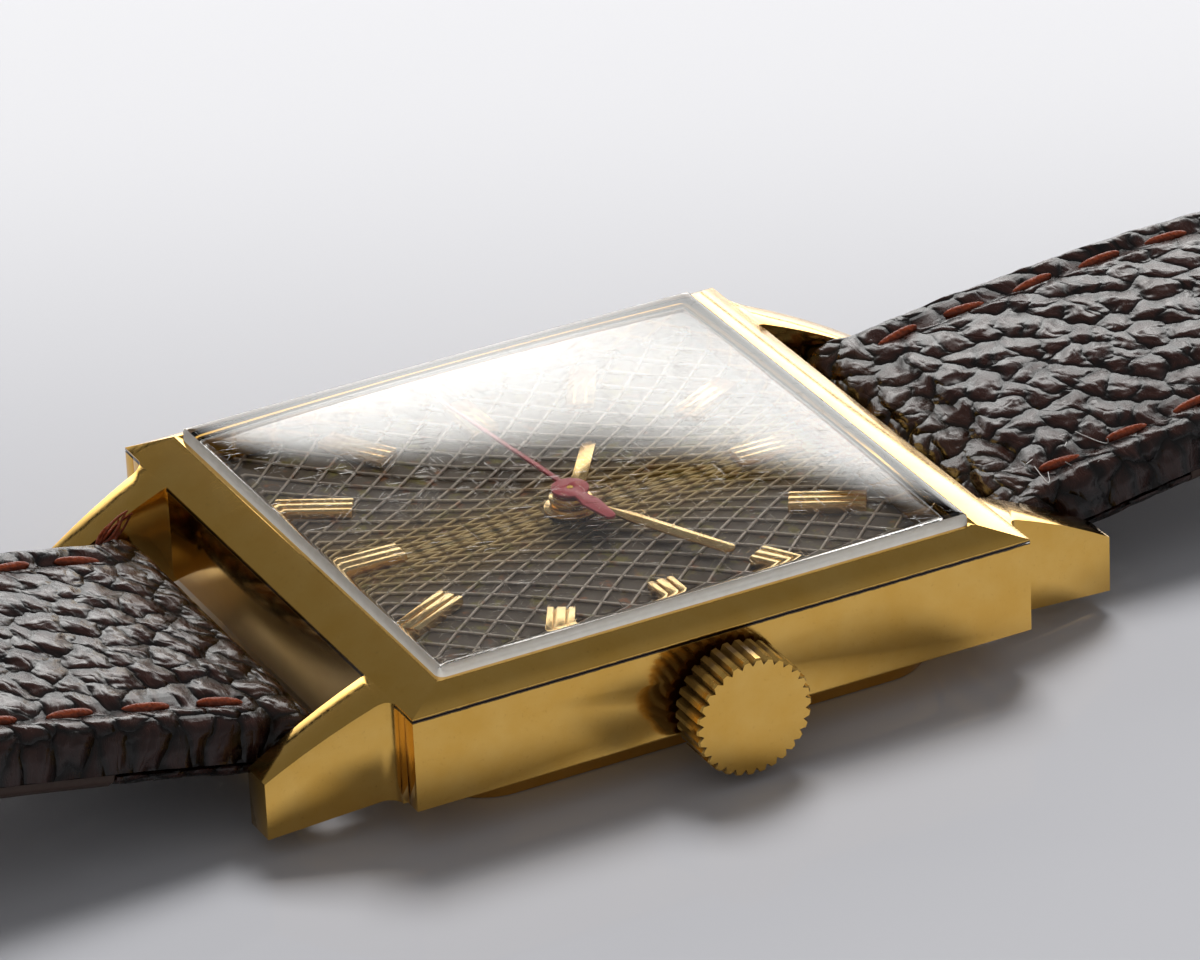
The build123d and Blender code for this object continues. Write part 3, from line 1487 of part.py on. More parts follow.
with BuildPart() as minute_wheel:
    add(
        toothed_disc(
            minute_wheel_place,
            motion_low,
            motion_low + motion_gear,
            minute_teeth,
            motion_module,
            minute_wheel_phase,
        )
    )
    add(
        toothed_disc(
            minute_wheel_place, motion_low, hour_wheel_top + pinion_gap, minute_leaves, motion_module, 0
        )
    )
    with BuildSketch(at(minute_wheel_place, motion_low)):
        Circle(post_fit)
    extrude(amount=motion_floor, mode=Mode.SUBTRACT)
minute_wheel.part.label = "minute_wheel"
export_step(minute_wheel.part, "parts/minute_wheel.step")

with BuildPart() as hour_wheel:
    add(toothed_disc(centre, hour_wheel_low, hour_wheel_top, hour_teeth, motion_module, hour_wheel_phase))
    add(round_bar(centre, hour_wheel_low, hour_level + collar_height, hour_pipe))
    with BuildSketch(Plane.XY.offset(hour_wheel_low)):
        Circle(cannon_pipe + pipe_fit)
    extrude(amount=hour_level + collar_height - hour_wheel_low, mode=Mode.SUBTRACT)
hour_wheel.part.label = "hour_wheel"
export_step(hour_wheel.part, "parts/hour_wheel.step")

with BuildPart() as setting_wheel:
    add(
        toothed_disc(
            setting_place, motion_low, motion_low + motion_gear, setting_teeth, motion_module, setting_phase
        )
    )
    with BuildSketch(at(setting_place, motion_low)):
        Circle(post_fit)
    extrude(amount=motion_gear, mode=Mode.SUBTRACT)
setting_wheel.part.label = "setting_wheel"
export_step(setting_wheel.part, "parts/setting_wheel.step")

# Pinions on the stem, and the two levers that move the sliding one
with BuildPart() as winding_pinion:
    with BuildSketch(stem_plane(winding_pinion_start)):
        Circle(winding_pinion_radius)
        Circle(stem_radius + stem_fit, mode=Mode.SUBTRACT)
        with PolarLocations(winding_pinion_radius, winding_pinion_teeth):
            Rectangle(pinion_tooth_depth * 2, pinion_tooth_depth, mode=Mode.SUBTRACT)
    extrude(amount=winding_pinion_length)
winding_pinion.part.label = "winding_pinion"
export_step(winding_pinion.part, "parts/winding_pinion.step")

square_bore = stem_square + 2 * stem_fit

with BuildPart() as sliding_pinion:
    with BuildSketch(stem_plane(sliding_pinion_start)):
        Circle(sliding_pinion_radius)
        Rectangle(square_bore, square_bore, mode=Mode.SUBTRACT)
    extrude(amount=sliding_pinion_length)
    with BuildSketch(stem_plane(yoke_finger_x - sliding_groove / 2)):
        Circle(sliding_pinion_radius + cut_over)
        Circle(sliding_pinion_radius - sliding_groove_depth, mode=Mode.SUBTRACT)
    extrude(amount=sliding_groove, mode=Mode.SUBTRACT)
sliding_pinion.part.label = "sliding_pinion"
export_step(sliding_pinion.part, "parts/sliding_pinion.step")

lever_pin_place = (lever_pin_x, 0)
lever_line = bearing(lever_place, lever_pin_place)
lever_length = spread(lever_place, lever_pin_place)

with BuildPart() as setting_lever:
    with BuildSketch(at(around(lever_length / 2, lever_line, lever_place), lever_low)):
        SlotCenterToCenter(lever_length, lever_width, rotation=lever_line)
    extrude(amount=lever_thickness)
    with BuildSketch(at(lever_place, lever_low)):
        Circle(post_fit)
    extrude(amount=lever_thickness, mode=Mode.SUBTRACT)
    with BuildSketch(at(lever_pin_place, crown_axis_height + stem_radius - stem_groove_depth + pinion_gap)):
        Circle(lever_pin)
    extrude(amount=lever_low - crown_axis_height - stem_radius + stem_groove_depth)
setting_lever.part.label = "setting_lever"
export_step(setting_lever.part, "parts/setting_lever.step")

yoke_finger_place = (yoke_finger_x, -yoke_finger_end)
yoke_line = bearing(yoke_place, yoke_finger_place)
yoke_length = spread(yoke_place, yoke_finger_place)

with BuildPart() as yoke:
    with BuildSketch(at(around(yoke_length / 2, yoke_line, yoke_place), lever_low)):
        SlotCenterToCenter(yoke_length, yoke_finger, rotation=yoke_line)
    with BuildSketch(at(yoke_place, lever_low)):
        Circle(lever_width * 0.75)
    extrude(amount=lever_thickness)
    with BuildSketch(at(yoke_place, lever_low)):
        Circle(post_fit)
    extrude(amount=lever_thickness, mode=Mode.SUBTRACT)
yoke.part.label = "yoke"
export_step(yoke.part, "parts/yoke.step")

# Spring bars: tube, a tip at each end that can be pressed in, and the spring between them
bar_half = lug_inner - bar_end_gap
tip_start = bar_half - bar_tip_inside
tip_end = lug_inner + bar_tip_reach
tip_flange_end = bar_half - bar_end_gap


def bar_plane(side, distance):
    """A plane across the spring bar of one strap, looking along +X."""
    return Plane(origin=(distance, side * bar_place, bar_height), x_dir=(0, 1, 0), z_dir=(1, 0, 0))


def bar_tube(side):
    """Thin tube with its ends turned in round the tips."""
    with BuildPart() as tube:
        with BuildSketch(bar_plane(side, 0)):
            Circle(bar_radius)
            Circle(bar_bore, mode=Mode.SUBTRACT)
        extrude(amount=bar_half, both=True)
        with BuildSketch(bar_plane(side, bar_half - bar_end_gap / 2)):
            Circle(bar_bore)
            Circle(bar_tip_radius + pivot_fit, mode=Mode.SUBTRACT)
        extrude(amount=bar_end_gap / 2)
        with BuildSketch(bar_plane(side, bar_end_gap / 2 - bar_half)):
            Circle(bar_bore)
            Circle(bar_tip_radius + pivot_fit, mode=Mode.SUBTRACT)
        extrude(amount=-bar_end_gap / 2)
    return tube.part


def bar_tip(side, end):
    """Stepped pin that stands out of one end of the tube into the lug."""
    with BuildPart() as tip:
        with BuildSketch(bar_plane(side, end * tip_start)):
            Circle(bar_bore - pivot_fit)
        extrude(amount=end * (tip_flange_end - tip_start))
        with BuildSketch(bar_plane(side, end * tip_start)):
            Circle(bar_tip_radius)
        extrude(amount=end * (tip_end - tip_start))
        chamfer(tip.faces().sort_by(Axis.X)[-1 if end > 0 else 0].edges(), bar_tip_radius / 3)
    return tip.part


def bar_spring(side):
    """Coil spring between the two tips, as a plain round core."""
    with BuildPart() as spring:
        with BuildSketch(bar_plane(side, 0)):
            Circle(bar_tip_radius)
        extrude(amount=tip_start - pinion_gap, both=True)
    return spring.part


twelve_side = 1
six_side = -1

bar_tube_twelve = bar_tube(twelve_side)
bar_tube_twelve.label = "spring_bar_tube_12"
export_step(bar_tube_twelve, "parts/spring_bar_tube_12.step")

bar_tube_six = bar_tube(six_side)
bar_tube_six.label = "spring_bar_tube_6"
export_step(bar_tube_six, "parts/spring_bar_tube_6.step")

bar_tip_twelve_right = bar_tip(twelve_side, 1)
bar_tip_twelve_right.label = "spring_bar_tip_12_right"
export_step(bar_tip_twelve_right, "parts/spring_bar_tip_12_right.step")

bar_tip_twelve_left = bar_tip(twelve_side, -1)
bar_tip_twelve_left.label = "spring_bar_tip_12_left"
export_step(bar_tip_twelve_left, "parts/spring_bar_tip_12_left.step")

bar_tip_six_right = bar_tip(six_side, 1)
bar_tip_six_right.label = "spring_bar_tip_6_right"
export_step(bar_tip_six_right, "parts/spring_bar_tip_6_right.step")

bar_tip_six_left = bar_tip(six_side, -1)
bar_tip_six_left.label = "spring_bar_tip_6_left"
export_step(bar_tip_six_left, "parts/spring_bar_tip_6_left.step")

bar_spring_twelve = bar_spring(twelve_side)
bar_spring_twelve.label = "spring_bar_spring_12"
export_step(bar_spring_twelve, "parts/spring_bar_spring_12.step")

bar_spring_six = bar_spring(six_side)
bar_spring_six.label = "spring_bar_spring_6"
export_step(bar_spring_six, "parts/spring_bar_spring_6.step")

# Strap halves: padded leather folded round the spring bar, with a thin lining under it
long_shape = (long_rise_angle, long_length, long_bend_radius, six_side)
short_shape = (short_rise_angle, short_bend_run, short_bend_radius, twelve_side)
short_length = short_bend_run + short_straight
station_step = 4.0
bore = bar_radius + strap_bore_fit


def strap_point(run, offset, shape):
    """A point in the strap's side view: run along the middle line, offset square to it."""
    rise, bend_run, bend_radius, side = shape
    bent = min(run, bend_run)
    start = radians(rise)
    slope = start - bent / bend_radius
    forward = bend_radius * (sin(start) - sin(slope)) + (run - bent) * cos(slope) - offset * sin(slope)
    upward = bend_radius * (cos(slope) - cos(start)) + (run - bent) * sin(slope) + offset * cos(slope)
    return (side * (bar_place + forward), bar_height + upward)


def strap_top(run):
    """How far the leather's top stands over the middle line."""
    if run < strap_pad_run:
        return strap_loop_radius + (strap_pad - strap_loop_radius) * run / strap_pad_run
    if run < strap_thin_run:
        return strap_pad + (strap_thin - strap_pad) * (run - strap_pad_run) / (strap_thin_run - strap_pad_run)
    return strap_thin


def run_stations(start, end):
    """The stations of the whole strap that lie between two runs, with both ends."""
    inner = [index * station_step for index in range(int(end / station_step) + 1)]
    return [start] + [run for run in inner if start < run < end] + [end]


def strap_plan(shape, length, pointed):
    """The strap's outline from above, wide at the lugs and narrower from the taper's end."""
    side = shape[3]
    stations = [
        (strap_width / 2, side * (bar_place - strap_loop_radius - cut_over)),
        (strap_width / 2, strap_point(0, 0, shape)[0]),
        (strap_end_width / 2, strap_point(strap_taper_run, 0, shape)[0]),
    ]
    if pointed:
        stations.append((strap_end_width / 2, strap_point(length - tip_run, 0, shape)[0]))
        stations.append((tip_round, strap_point(length, 0, shape)[0]))
    else:
        past_end = strap_point(length + strap_loop_radius + cut_over, 0, shape)[0]
        stations.append((strap_end_width / 2, past_end))
    with BuildSketch() as plan:
        with BuildLine():
            Polyline(*stations, *[(-x, y) for x, y in reversed(stations)], close=True)
        make_face()
        if pointed:
            tip_corners = plan.vertices().filter_by(lambda v: abs(v.Y) > abs(stations[3][1]) - cut_over)
            fillet(tip_corners, tip_round)
    return plan.sketch


def strap_sheet(shape, start, end, low, high):
    """A layer of the strap between two curved lines of the side view, before it is cut to the outline."""
    with BuildSketch() as sheet:
        with BuildLine():
            upper = [strap_point(run, high(run), shape) for run in run_stations(start, end)]
            lower = [strap_point(run, low(run), shape) for run in run_stations(start, end)]
            Polyline(*upper)
            Polyline(*lower)
            Line(upper[0], lower[0])
            Line(upper[-1], lower[-1])
        make_face()
    return sheet.sketch


def leather_half(shape, length, pointed, end_loop):
    """The outer leather of one strap half."""
    side = shape[3]
    lining_top = lining_thickness - strap_under
    with BuildPart() as leather:
        with BuildSketch(Plane.YZ):
            add(strap_sheet(shape, 0, length, lambda run: lining_top, strap_top))
            add(strap_sheet(shape, 0, fold_run, lambda run: -strap_under, lambda run: lining_top))
            with Locations((side * bar_place, bar_height)):
                Circle(strap_loop_radius)
            if end_loop:
                with Locations(strap_point(length, 0, shape)):
                    Circle(buckle_loop_radius)
                    Circle(buckle_bar_radius + buckle_bar_fit, mode=Mode.SUBTRACT)
            with Locations((side * bar_place, bar_height)):
                Circle(bore, mode=Mode.SUBTRACT)
        extrude(amount=strap_width, both=True)
        with BuildSketch(Plane.XY.offset(-cut_over)):
            add(strap_plan(shape, length, pointed))
        extrude(amount=case_width, mode=Mode.INTERSECT)
    return leather.part


def lining_half(shape, start, end, pointed, length):
    """The lining of one strap half, from the end of the fold onward."""
    lining_top = lining_thickness - strap_under
    with BuildPart() as lining:
        with BuildSketch(Plane.YZ):
            add(strap_sheet(shape, start, end, lambda run: -strap_under, lambda run: lining_top))
        extrude(amount=strap_width, both=True)
        with BuildSketch(Plane.XY.offset(-cut_over)):
            add(strap_plan(shape, length, pointed))
        extrude(amount=case_width, mode=Mode.INTERSECT)
    return lining.part


def hole_cutter():
    """Round cutters for the buckle holes of the long strap."""
    with BuildPart() as cutter:
        for index in range(strap_holes):
            run = long_length - strap_hole_start - index * strap_hole_step
            with BuildSketch(Plane.XY.offset(-cut_over)):
                with Locations((0, strap_point(run, 0, long_shape)[0])):
                    Circle(strap_hole_radius)
            extrude(amount=case_width)
    return cutter.part


with BuildPart() as long_strap:
    add(leather_half(long_shape, long_length, True, False))
    add(hole_cutter(), mode=Mode.SUBTRACT)
long_strap.part.label = "long_strap"
export_step(long_strap.part, "parts/long_strap.step")

with BuildPart() as long_strap_lining:
    add(lining_half(long_shape, fold_run, long_length, True, long_length))
    add(hole_cutter(), mode=Mode.SUBTRACT)
long_strap_lining.part.label = "long_strap_lining"
export_step(long_strap_lining.part, "parts/long_strap_lining.step")

# Buckle end of the short strap, drawn in a plane that lies along the strap
buckle_spot = strap_point(short_length, 0, short_shape)
buckle_slope = radians(short_rise_angle - degrees(short_bend_run / short_bend_radius))


def buckle_plane(height):
    """A plane along the strap's end, its origin over the buckle bar and its y axis pointing outward."""
    return Plane(
        origin=(0, buckle_spot[0] - height * sin(buckle_slope), buckle_spot[1] + height * cos(buckle_slope)),
        x_dir=(1, 0, 0),
        z_dir=(0, -sin(buckle_slope), cos(buckle_slope)),
    )


def buckle_side(distance):
    """A plane across the buckle, its x axis along the strap and its y axis up."""
    return Plane(
        origin=(distance, *buckle_spot), x_dir=(0, cos(buckle_slope), sin(buckle_slope)), z_dir=(1, 0, 0)
    )


with BuildPart() as short_strap:
    add(leather_half(short_shape, short_length, False, True))
    with BuildSketch(buckle_plane(0)):
        Rectangle(tongue_slot, 2 * (buckle_loop_radius + cut_over))
    extrude(amount=case_width, both=True, mode=Mode.SUBTRACT)
short_strap.part.label = "short_strap"
export_step(short_strap.part, "parts/short_strap.step")

lining_stop = short_length - buckle_loop_radius - cut_over * 2
short_strap_lining = lining_half(short_shape, fold_run, lining_stop, False, short_length)
short_strap_lining.label = "short_strap_lining"
export_step(short_strap_lining, "parts/short_strap_lining.step")

# Keepers: one held by the strap's stitching, one that slides
keeper_inside = strap_end_width / 2 + keeper_fit
keeper_floor = -strap_under - keeper_fit
keeper_roof = strap_thin + keeper_room


def keeper(distance_back):
    """A leather band round the strap, with room for the other half's end."""
    with BuildPart() as band:
        with BuildSketch(buckle_plane(keeper_floor - keeper_wall)):
            with Locations((0, -distance_back)):
                Rectangle(2 * (keeper_inside + keeper_wall), keeper_length)
        extrude(amount=keeper_roof - keeper_floor + 2 * keeper_wall)
        with BuildSketch(buckle_plane(keeper_floor)):
            with Locations((0, -distance_back)):
                Rectangle(2 * keeper_inside, keeper_length + cut_over)
        extrude(amount=keeper_roof - keeper_floor, mode=Mode.SUBTRACT)
    return band.part


fixed_keeper = keeper(fixed_keeper_back)
fixed_keeper.label = "fixed_keeper"
export_step(fixed_keeper, "parts/fixed_keeper.step")

free_keeper = keeper(free_keeper_back)
free_keeper.label = "free_keeper"
export_step(free_keeper, "parts/free_keeper.step")

# Buckle: gold-plated frame, steel bar and a tongue that rests on the front of the frame
frame_outer = frame_inner / 2 + frame_arm
bar_reach = frame_inner / 2 + frame_arm / 2

with BuildPart() as buckle_frame:
    with BuildSketch(buckle_plane(-frame_thickness / 2)):
        with Locations((0, -frame_heel)):
            Rectangle(2 * frame_outer, frame_reach + frame_heel, align=(Align.CENTER, Align.MIN))
        with Locations((0, -frame_heel - cut_over)):
            Rectangle(
                frame_inner,
                frame_reach + frame_heel + cut_over - frame_front,
                align=(Align.CENTER, Align.MIN),
                mode=Mode.SUBTRACT,
            )
    extrude(amount=frame_thickness)
    with BuildSketch(buckle_side(0)):
        Circle(buckle_bar_radius)
    extrude(amount=bar_reach, both=True, mode=Mode.SUBTRACT)
    front_corners = (
        buckle_frame.edges()
        .filter_by(lambda edge: abs(edge.tangent_at(0).Z) > 0.9)
        .sort_by(Axis.Y)[-4:]
        .filter_by(lambda edge: abs(edge.center().X) > frame_inner / 2 + frame_arm / 2)
    )
    fillet(front_corners, frame_arm)
buckle_frame.part.label = "buckle_frame"
export_step(buckle_frame.part, "parts/buckle_frame.step")

with BuildPart() as buckle_bar:
    with BuildSketch(buckle_side(0)):
        Circle(buckle_bar_radius)
    extrude(amount=bar_reach, both=True)
buckle_bar.part.label = "buckle_bar"
export_step(buckle_bar.part, "parts/buckle_bar.step")

tongue_low = frame_thickness / 2 + tongue_gap
tongue_end = frame_reach + tongue_overhang
tongue_knee = frame_reach - frame_front - tongue_overhang
tongue_root = tongue_loop - tongue_thickness

with BuildPart() as buckle_tongue:
    with BuildSketch(buckle_side(0)):
        with BuildLine():
            Polyline(
                (0, tongue_root),
                (tongue_knee, tongue_low),
                (tongue_end, tongue_low),
                (tongue_end, tongue_low + tongue_thickness / 2),
                (tongue_knee, tongue_low + tongue_thickness),
                (tongue_knee / 2, tongue_low + tongue_thickness + tongue_camber / 2),
                (0, tongue_loop),
                close=True,
            )
        make_face()
        Circle(tongue_loop)
        Circle(buckle_bar_radius + buckle_bar_fit, mode=Mode.SUBTRACT)
    extrude(amount=tongue_width / 2, both=True)
buckle_tongue.part.label = "buckle_tongue"
export_step(buckle_tongue.part, "parts/buckle_tongue.step")
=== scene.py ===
from math import cos, pi, radians, sin, sqrt

import bmesh
import bpy
import numpy as np
from mathutils import Matrix, Vector
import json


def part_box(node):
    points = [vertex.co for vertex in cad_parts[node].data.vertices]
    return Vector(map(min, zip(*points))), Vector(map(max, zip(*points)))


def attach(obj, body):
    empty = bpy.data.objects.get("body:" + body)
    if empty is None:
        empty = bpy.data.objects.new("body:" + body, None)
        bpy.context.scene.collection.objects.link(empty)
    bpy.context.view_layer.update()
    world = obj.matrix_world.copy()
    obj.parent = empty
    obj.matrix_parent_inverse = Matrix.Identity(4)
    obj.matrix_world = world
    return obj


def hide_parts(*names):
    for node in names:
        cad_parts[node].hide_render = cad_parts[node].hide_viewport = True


# Looks of a square hand-wound watch on a padded leather strap, in metres.
# +X is 3 o'clock and the crown, +Y is 12 o'clock, +Z is up out of the dial.

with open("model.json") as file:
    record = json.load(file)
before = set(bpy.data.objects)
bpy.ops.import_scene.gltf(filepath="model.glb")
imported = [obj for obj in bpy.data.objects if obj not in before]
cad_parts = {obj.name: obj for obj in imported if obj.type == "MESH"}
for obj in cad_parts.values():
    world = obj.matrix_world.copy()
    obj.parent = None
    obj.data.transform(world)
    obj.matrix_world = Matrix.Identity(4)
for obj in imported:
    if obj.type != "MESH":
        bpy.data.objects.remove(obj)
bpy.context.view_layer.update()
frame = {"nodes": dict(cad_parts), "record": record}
mm = 0.001

# Camera: a long lens close to the table, low over the crown side.
# The three directions and the place come from fitting the case's corners in the photograph.
photo_width = 1200
focal_pixels = 7688.5
camera_place = (0.269197, -0.13239, 0.165586)
camera_right = (0.464206, 0.884784, -0.040876)
camera_up = (-0.397349, 0.249272, 0.883163)
camera_back = (0.791598, -0.393727, 0.467281)

lens = bpy.data.cameras.new("close_lens")
lens.sensor_width = 36
lens.lens = focal_pixels * lens.sensor_width / photo_width
lens.clip_start = 0.02
lens.clip_end = 20
camera = bpy.data.objects.new("camera", lens)
camera.matrix_world = Matrix.Translation(camera_place) @ Matrix(
    (camera_right, camera_up, camera_back)
).transposed().to_4x4()
bpy.context.scene.collection.objects.link(camera)
bpy.context.scene.camera = camera
bpy.context.scene.view_settings.view_transform = "Standard"


# Table: a flat sheet of pale acrylic under the watch, polished enough to mirror the case and the strap.
# It belongs to the stage.
table_reach = 3.0
table_level = -0.02 * mm


def linear(hex_colour):
    """An sRGB hex colour as linear red, green, blue and alpha."""
    parts = [int(hex_colour[i : i + 2], 16) / 255 for i in (1, 3, 5)]
    return (*[c / 12.92 if c <= 0.04045 else ((c + 0.055) / 1.055) ** 2.4 for c in parts], 1.0)


def add_node(tree, kind, inputs=None, prefix="ShaderNode", **settings):
    """Adds one node with its settings; an input is linked if it is a socket and set if it is a value."""
    node = tree.nodes.new(prefix + kind)
    for name, value in settings.items():
        setattr(node, name, value)
    for name, value in (inputs or {}).items():
        if isinstance(value, bpy.types.NodeSocket):
            tree.links.new(value, node.inputs[name])
        else:
            node.inputs[name].default_value = value
    return node


class Finish:
    """A material's or world's shader tree, with short ways to add the nodes that most finishes need."""

    def __init__(self, holder):
        holder.use_nodes = True
        self.holder, self.tree = holder, holder.node_tree
        self.tree.nodes.clear()

    def add(self, kind, inputs=None, output=0, **settings):
        """Adds a node and gives one of its outputs."""
        return add_node(self.tree, kind, inputs, **settings).outputs[output]

    def place(self):
        """The object's own coordinates in metres."""
        return self.add("TexCoord", output="Object")

    def axis(self, place, letter):
        """One of a place's coordinates."""
        return self.add("SeparateXYZ", {0: place}, letter)

    def noise(self, place, scale, detail=2.0, roughness=0.5, **settings):
        """A cloud of values round a half."""
        inputs = {"Vector": place, "Scale": scale, "Detail": detail, "Roughness": roughness}
        return self.add("TexNoise", inputs, **settings)

    def remap(self, value, low, high, to_low=0.0, to_high=1.0, curve="LINEAR"):
        """A value taken from one range to another and held at its ends."""
        inputs = {"Value": value, "From Min": low, "From Max": high, "To Min": to_low, "To Max": to_high}
        return self.add("MapRange", inputs, interpolation_type=curve)

    def calc(self, operation, *values):
        """The result of one operation on numbers."""
        return self.add("Math", dict(enumerate(values)), operation=operation)

    def mix(self, factor, low, high):
        """One colour blended into another; each is a socket or an sRGB hex text."""
        low, high = (linear(c) if isinstance(c, str) else c for c in (low, high))
        return self.add("Mix", {"Factor": factor, "A": low, "B": high}, 2, data_type="RGBA")

    def relief(self, height, distance, strength=1.0, **settings):
        """A normal bent by a height."""
        return self.add("Bump", {"Height": height, "Distance": distance, "Strength": strength}, **settings)

    def shader(self, colour, rough, inputs=None):
        """A surface with a colour, a roughness and further inputs by name."""
        colour = linear(colour) if isinstance(colour, str) else colour
        return self.add("BsdfPrincipled", {"Base Color": colour, "Roughness": rough, **(inputs or {})})

    def end(self, shader, output="OutputMaterial"):
        """Gives the material or world, finished with a shader."""
        self.tree.links.new(shader, add_node(self.tree, output).inputs[0])
        return self.holder


def new_finish(name):
    """An empty material to build a finish in."""
    return Finish(bpy.data.materials.new(name))


def new_piece(name, mesh):
    """Puts a mesh into the scene as an object at the origin."""
    piece = bpy.data.objects.new(name, mesh)
    bpy.context.scene.collection.objects.link(piece)
    return piece


def new_mesh(name, points, faces, edges=()):
    """A mesh from its points and its faces or edges."""
    mesh = bpy.data.meshes.new(name)
    mesh.from_pydata(points, edges, faces)
    return mesh


signs = ((-1, -1), (1, -1), (1, 1), (-1, 1))
table_corners = [(x * table_reach, y * table_reach, table_level) for x, y in signs]
table = new_piece("table", new_mesh("table", table_corners, [(0, 1, 2, 3)]))
acrylic_sheet = new_finish("polished_white_acrylic_sheet")
table.data.materials.append(acrylic_sheet.end(acrylic_sheet.shader("#CBCBCF", 0.04, {"IOR": 1.27})))

# Light: a wide soft box low behind the watch, fading toward its top and sides, and a room with a dim
# ceiling, brighter on the crown's side. The box washes out the far half of the crystal and brightens the
# far table. A lamp high behind the watch fills the table and is left out of reflections.
softbox_distance = 0.75
softbox_azimuth = radians(153.5)
softbox_half_width = 0.6
softbox_full_within = 0.3
softbox_low = 0.02
softbox_high = 0.46
softbox_full_below = 0.32
softbox_out_above = 0.415
softbox_strength = 3.7
room_horizon = 0.24
room_ceiling = 0.18
room_side = 0.08
room_rise = (0.1, 0.75)
room_turn = (-0.25, 0.05)
lamp_place = Vector((-0.38, 0.24, 0.68))
lamp_size = 0.35
lamp_power = 5.7

toward = Vector((cos(softbox_azimuth), sin(softbox_azimuth), 0))
across = Vector((-toward.y, toward.x, 0))
box_corners = [
    toward * softbox_distance + across * side * softbox_half_width + Vector((0, 0, level))
    for side, level in ((1, softbox_low), (-1, softbox_low), (-1, softbox_high), (1, softbox_high))
]
softbox = new_piece("softbox", new_mesh("softbox", box_corners, [(0, 1, 2, 3)]))
cloth = new_finish("softbox_cloth")
place = cloth.place()
height = cloth.axis(place, "Z")
by_height = cloth.remap(height, softbox_full_below, softbox_out_above, 1.0, 0.0, "SMOOTHSTEP")
sideways = cloth.add("VectorMath", {0: place, 1: across}, "Value", operation="DOT_PRODUCT")
aside = cloth.calc("ABSOLUTE", sideways)
by_side = cloth.remap(aside, softbox_full_within, softbox_half_width, softbox_strength, 0.0, "SMOOTHSTEP")
power = cloth.calc("MULTIPLY", by_height, by_side)
glow = cloth.add("Emission", {"Color": linear("#FFFEFC"), "Strength": power})
seen = cloth.add("LightPath", output="Is Camera Ray")
unseen = cloth.add("MixShader", {0: seen, 1: glow, 2: cloth.add("BsdfTransparent")})
softbox.data.materials.append(cloth.end(unseen))

lamp = bpy.data.lights.new("fill_lamp", "AREA")
lamp.shape = "SQUARE"
lamp.size = lamp_size
lamp.energy = lamp_power
lamp_holder = bpy.data.objects.new("fill_lamp", lamp)
lamp_turn = lamp_place.to_track_quat("Z", "Y").to_matrix().to_4x4()
lamp_holder.matrix_world = Matrix.Translation(lamp_place) @ lamp_turn
lamp_holder.visible_glossy = False
lamp_holder.visible_transmission = False
bpy.context.scene.collection.objects.link(lamp_holder)

room = Finish(bpy.data.worlds.new("pale_room"))
look = room.add("TexCoord", output="Generated")
upward = room.remap(room.axis(look, "Z"), *room_rise, room_horizon, room_ceiling, "SMOOTHSTEP")
beside = room.remap(room.axis(look, "X"), *room_turn, 0.0, room_side, "SMOOTHSTEP")
power = room.calc("ADD", upward, beside)
room_light = room.add("Background", {"Color": linear("#F6F7FA"), "Strength": power})
room_seen = room.add("Background", {"Color": linear("#EEEEF1"), "Strength": 1.0})
seen = room.add("LightPath", output="Is Camera Ray")
room_mix = room.add("MixShader", {0: seen, 1: room_light, 2: room_seen})
bpy.context.scene.world = room.end(room_mix, "OutputWorld")


# Case: an upper shell with bezel and lugs over a lower shell with the flanks, both gold-plated brass.
# The upper shell is polished and finely scratched by wear; the flanks are brushed.
gold_colours = ("#F0C269", "#E9B759", "#B98A48")
case_edge_radius = 0.07 * mm
weld_distance = 0.0005 * mm
flat_angle = radians(0.6)
edge_angle = radians(28)
tone_scale = 420.0
speckle_scale = 5200.0
seam_level = 6.33 * mm
seam_sway = 0.09 * mm
seam_outer = 0.11 * mm
seam_inner = 0.06 * mm
seam_end = 15.05 * mm


def body_of_node(name):
    """The CAD body that carries a node."""
    for body, members in frame["record"]["behaviour"]["bodies"].items():
        if name in members:
            return body
    raise KeyError(name)


def settle(piece, name):
    """Lets a piece ride with the body of the CAD node that it stands for, and hides that node."""
    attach(piece, body_of_node(name))
    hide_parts(name)
    return piece


def smooth_to(mesh, angle):
    """Smooth shading, with edges sharper than the angle left hard."""
    mesh.polygons.foreach_set("use_smooth", [True] * len(mesh.polygons))
    mesh.set_sharp_from_angle(angle=radians(angle))


def mesh_of(work, name):
    """What a bmesh holds, as a new mesh."""
    mesh = bpy.data.meshes.new(name)
    work.to_mesh(mesh)
    work.free()
    return mesh


def baked(piece):
    """A piece's mesh with its modifiers applied."""
    return bpy.data.meshes.new_from_object(piece.evaluated_get(bpy.context.evaluated_depsgraph_get()))


def with_broken_edges(name, radius, material, segments=2):
    """A copy of a CAD piece whose sharp edges are broken, as polishing leaves them."""
    work = bmesh.new()
    work.from_mesh(frame["nodes"][name].data)
    bmesh.ops.remove_doubles(work, verts=work.verts, dist=weld_distance)
    bmesh.ops.dissolve_limit(work, angle_limit=flat_angle, verts=work.verts, edges=work.edges)
    piece = new_piece(name + "_dressed", mesh_of(work, name + "_dressed"))
    edge = piece.modifiers.new("broken_edge", "BEVEL")
    edge.width = radius
    edge.segments = segments
    edge.limit_method = "ANGLE"
    edge.angle_limit = edge_angle
    edge.use_clamp_overlap = True
    finished = baked(piece)
    piece.modifiers.clear()
    piece.data = finished
    smooth_to(finished, 32)
    finished.materials.clear()
    finished.materials.append(material)
    return settle(piece, name)


def turned_out(mesh):
    """Turns a mesh's faces outward."""
    work = bmesh.new()
    work.from_mesh(mesh)
    bmesh.ops.recalc_face_normals(work, faces=work.faces)
    work.to_mesh(mesh)
    work.free()


def hairlines(metal, place, along, across_scale, stretch):
    """A noise drawn out along one axis, as brushing or wiping leaves in metal."""
    scale = [across_scale] * 3
    scale[along] = across_scale / stretch
    return metal.noise(metal.add("Mapping", {"Vector": place, "Scale": scale}), 1.0, 4.0, 0.6)


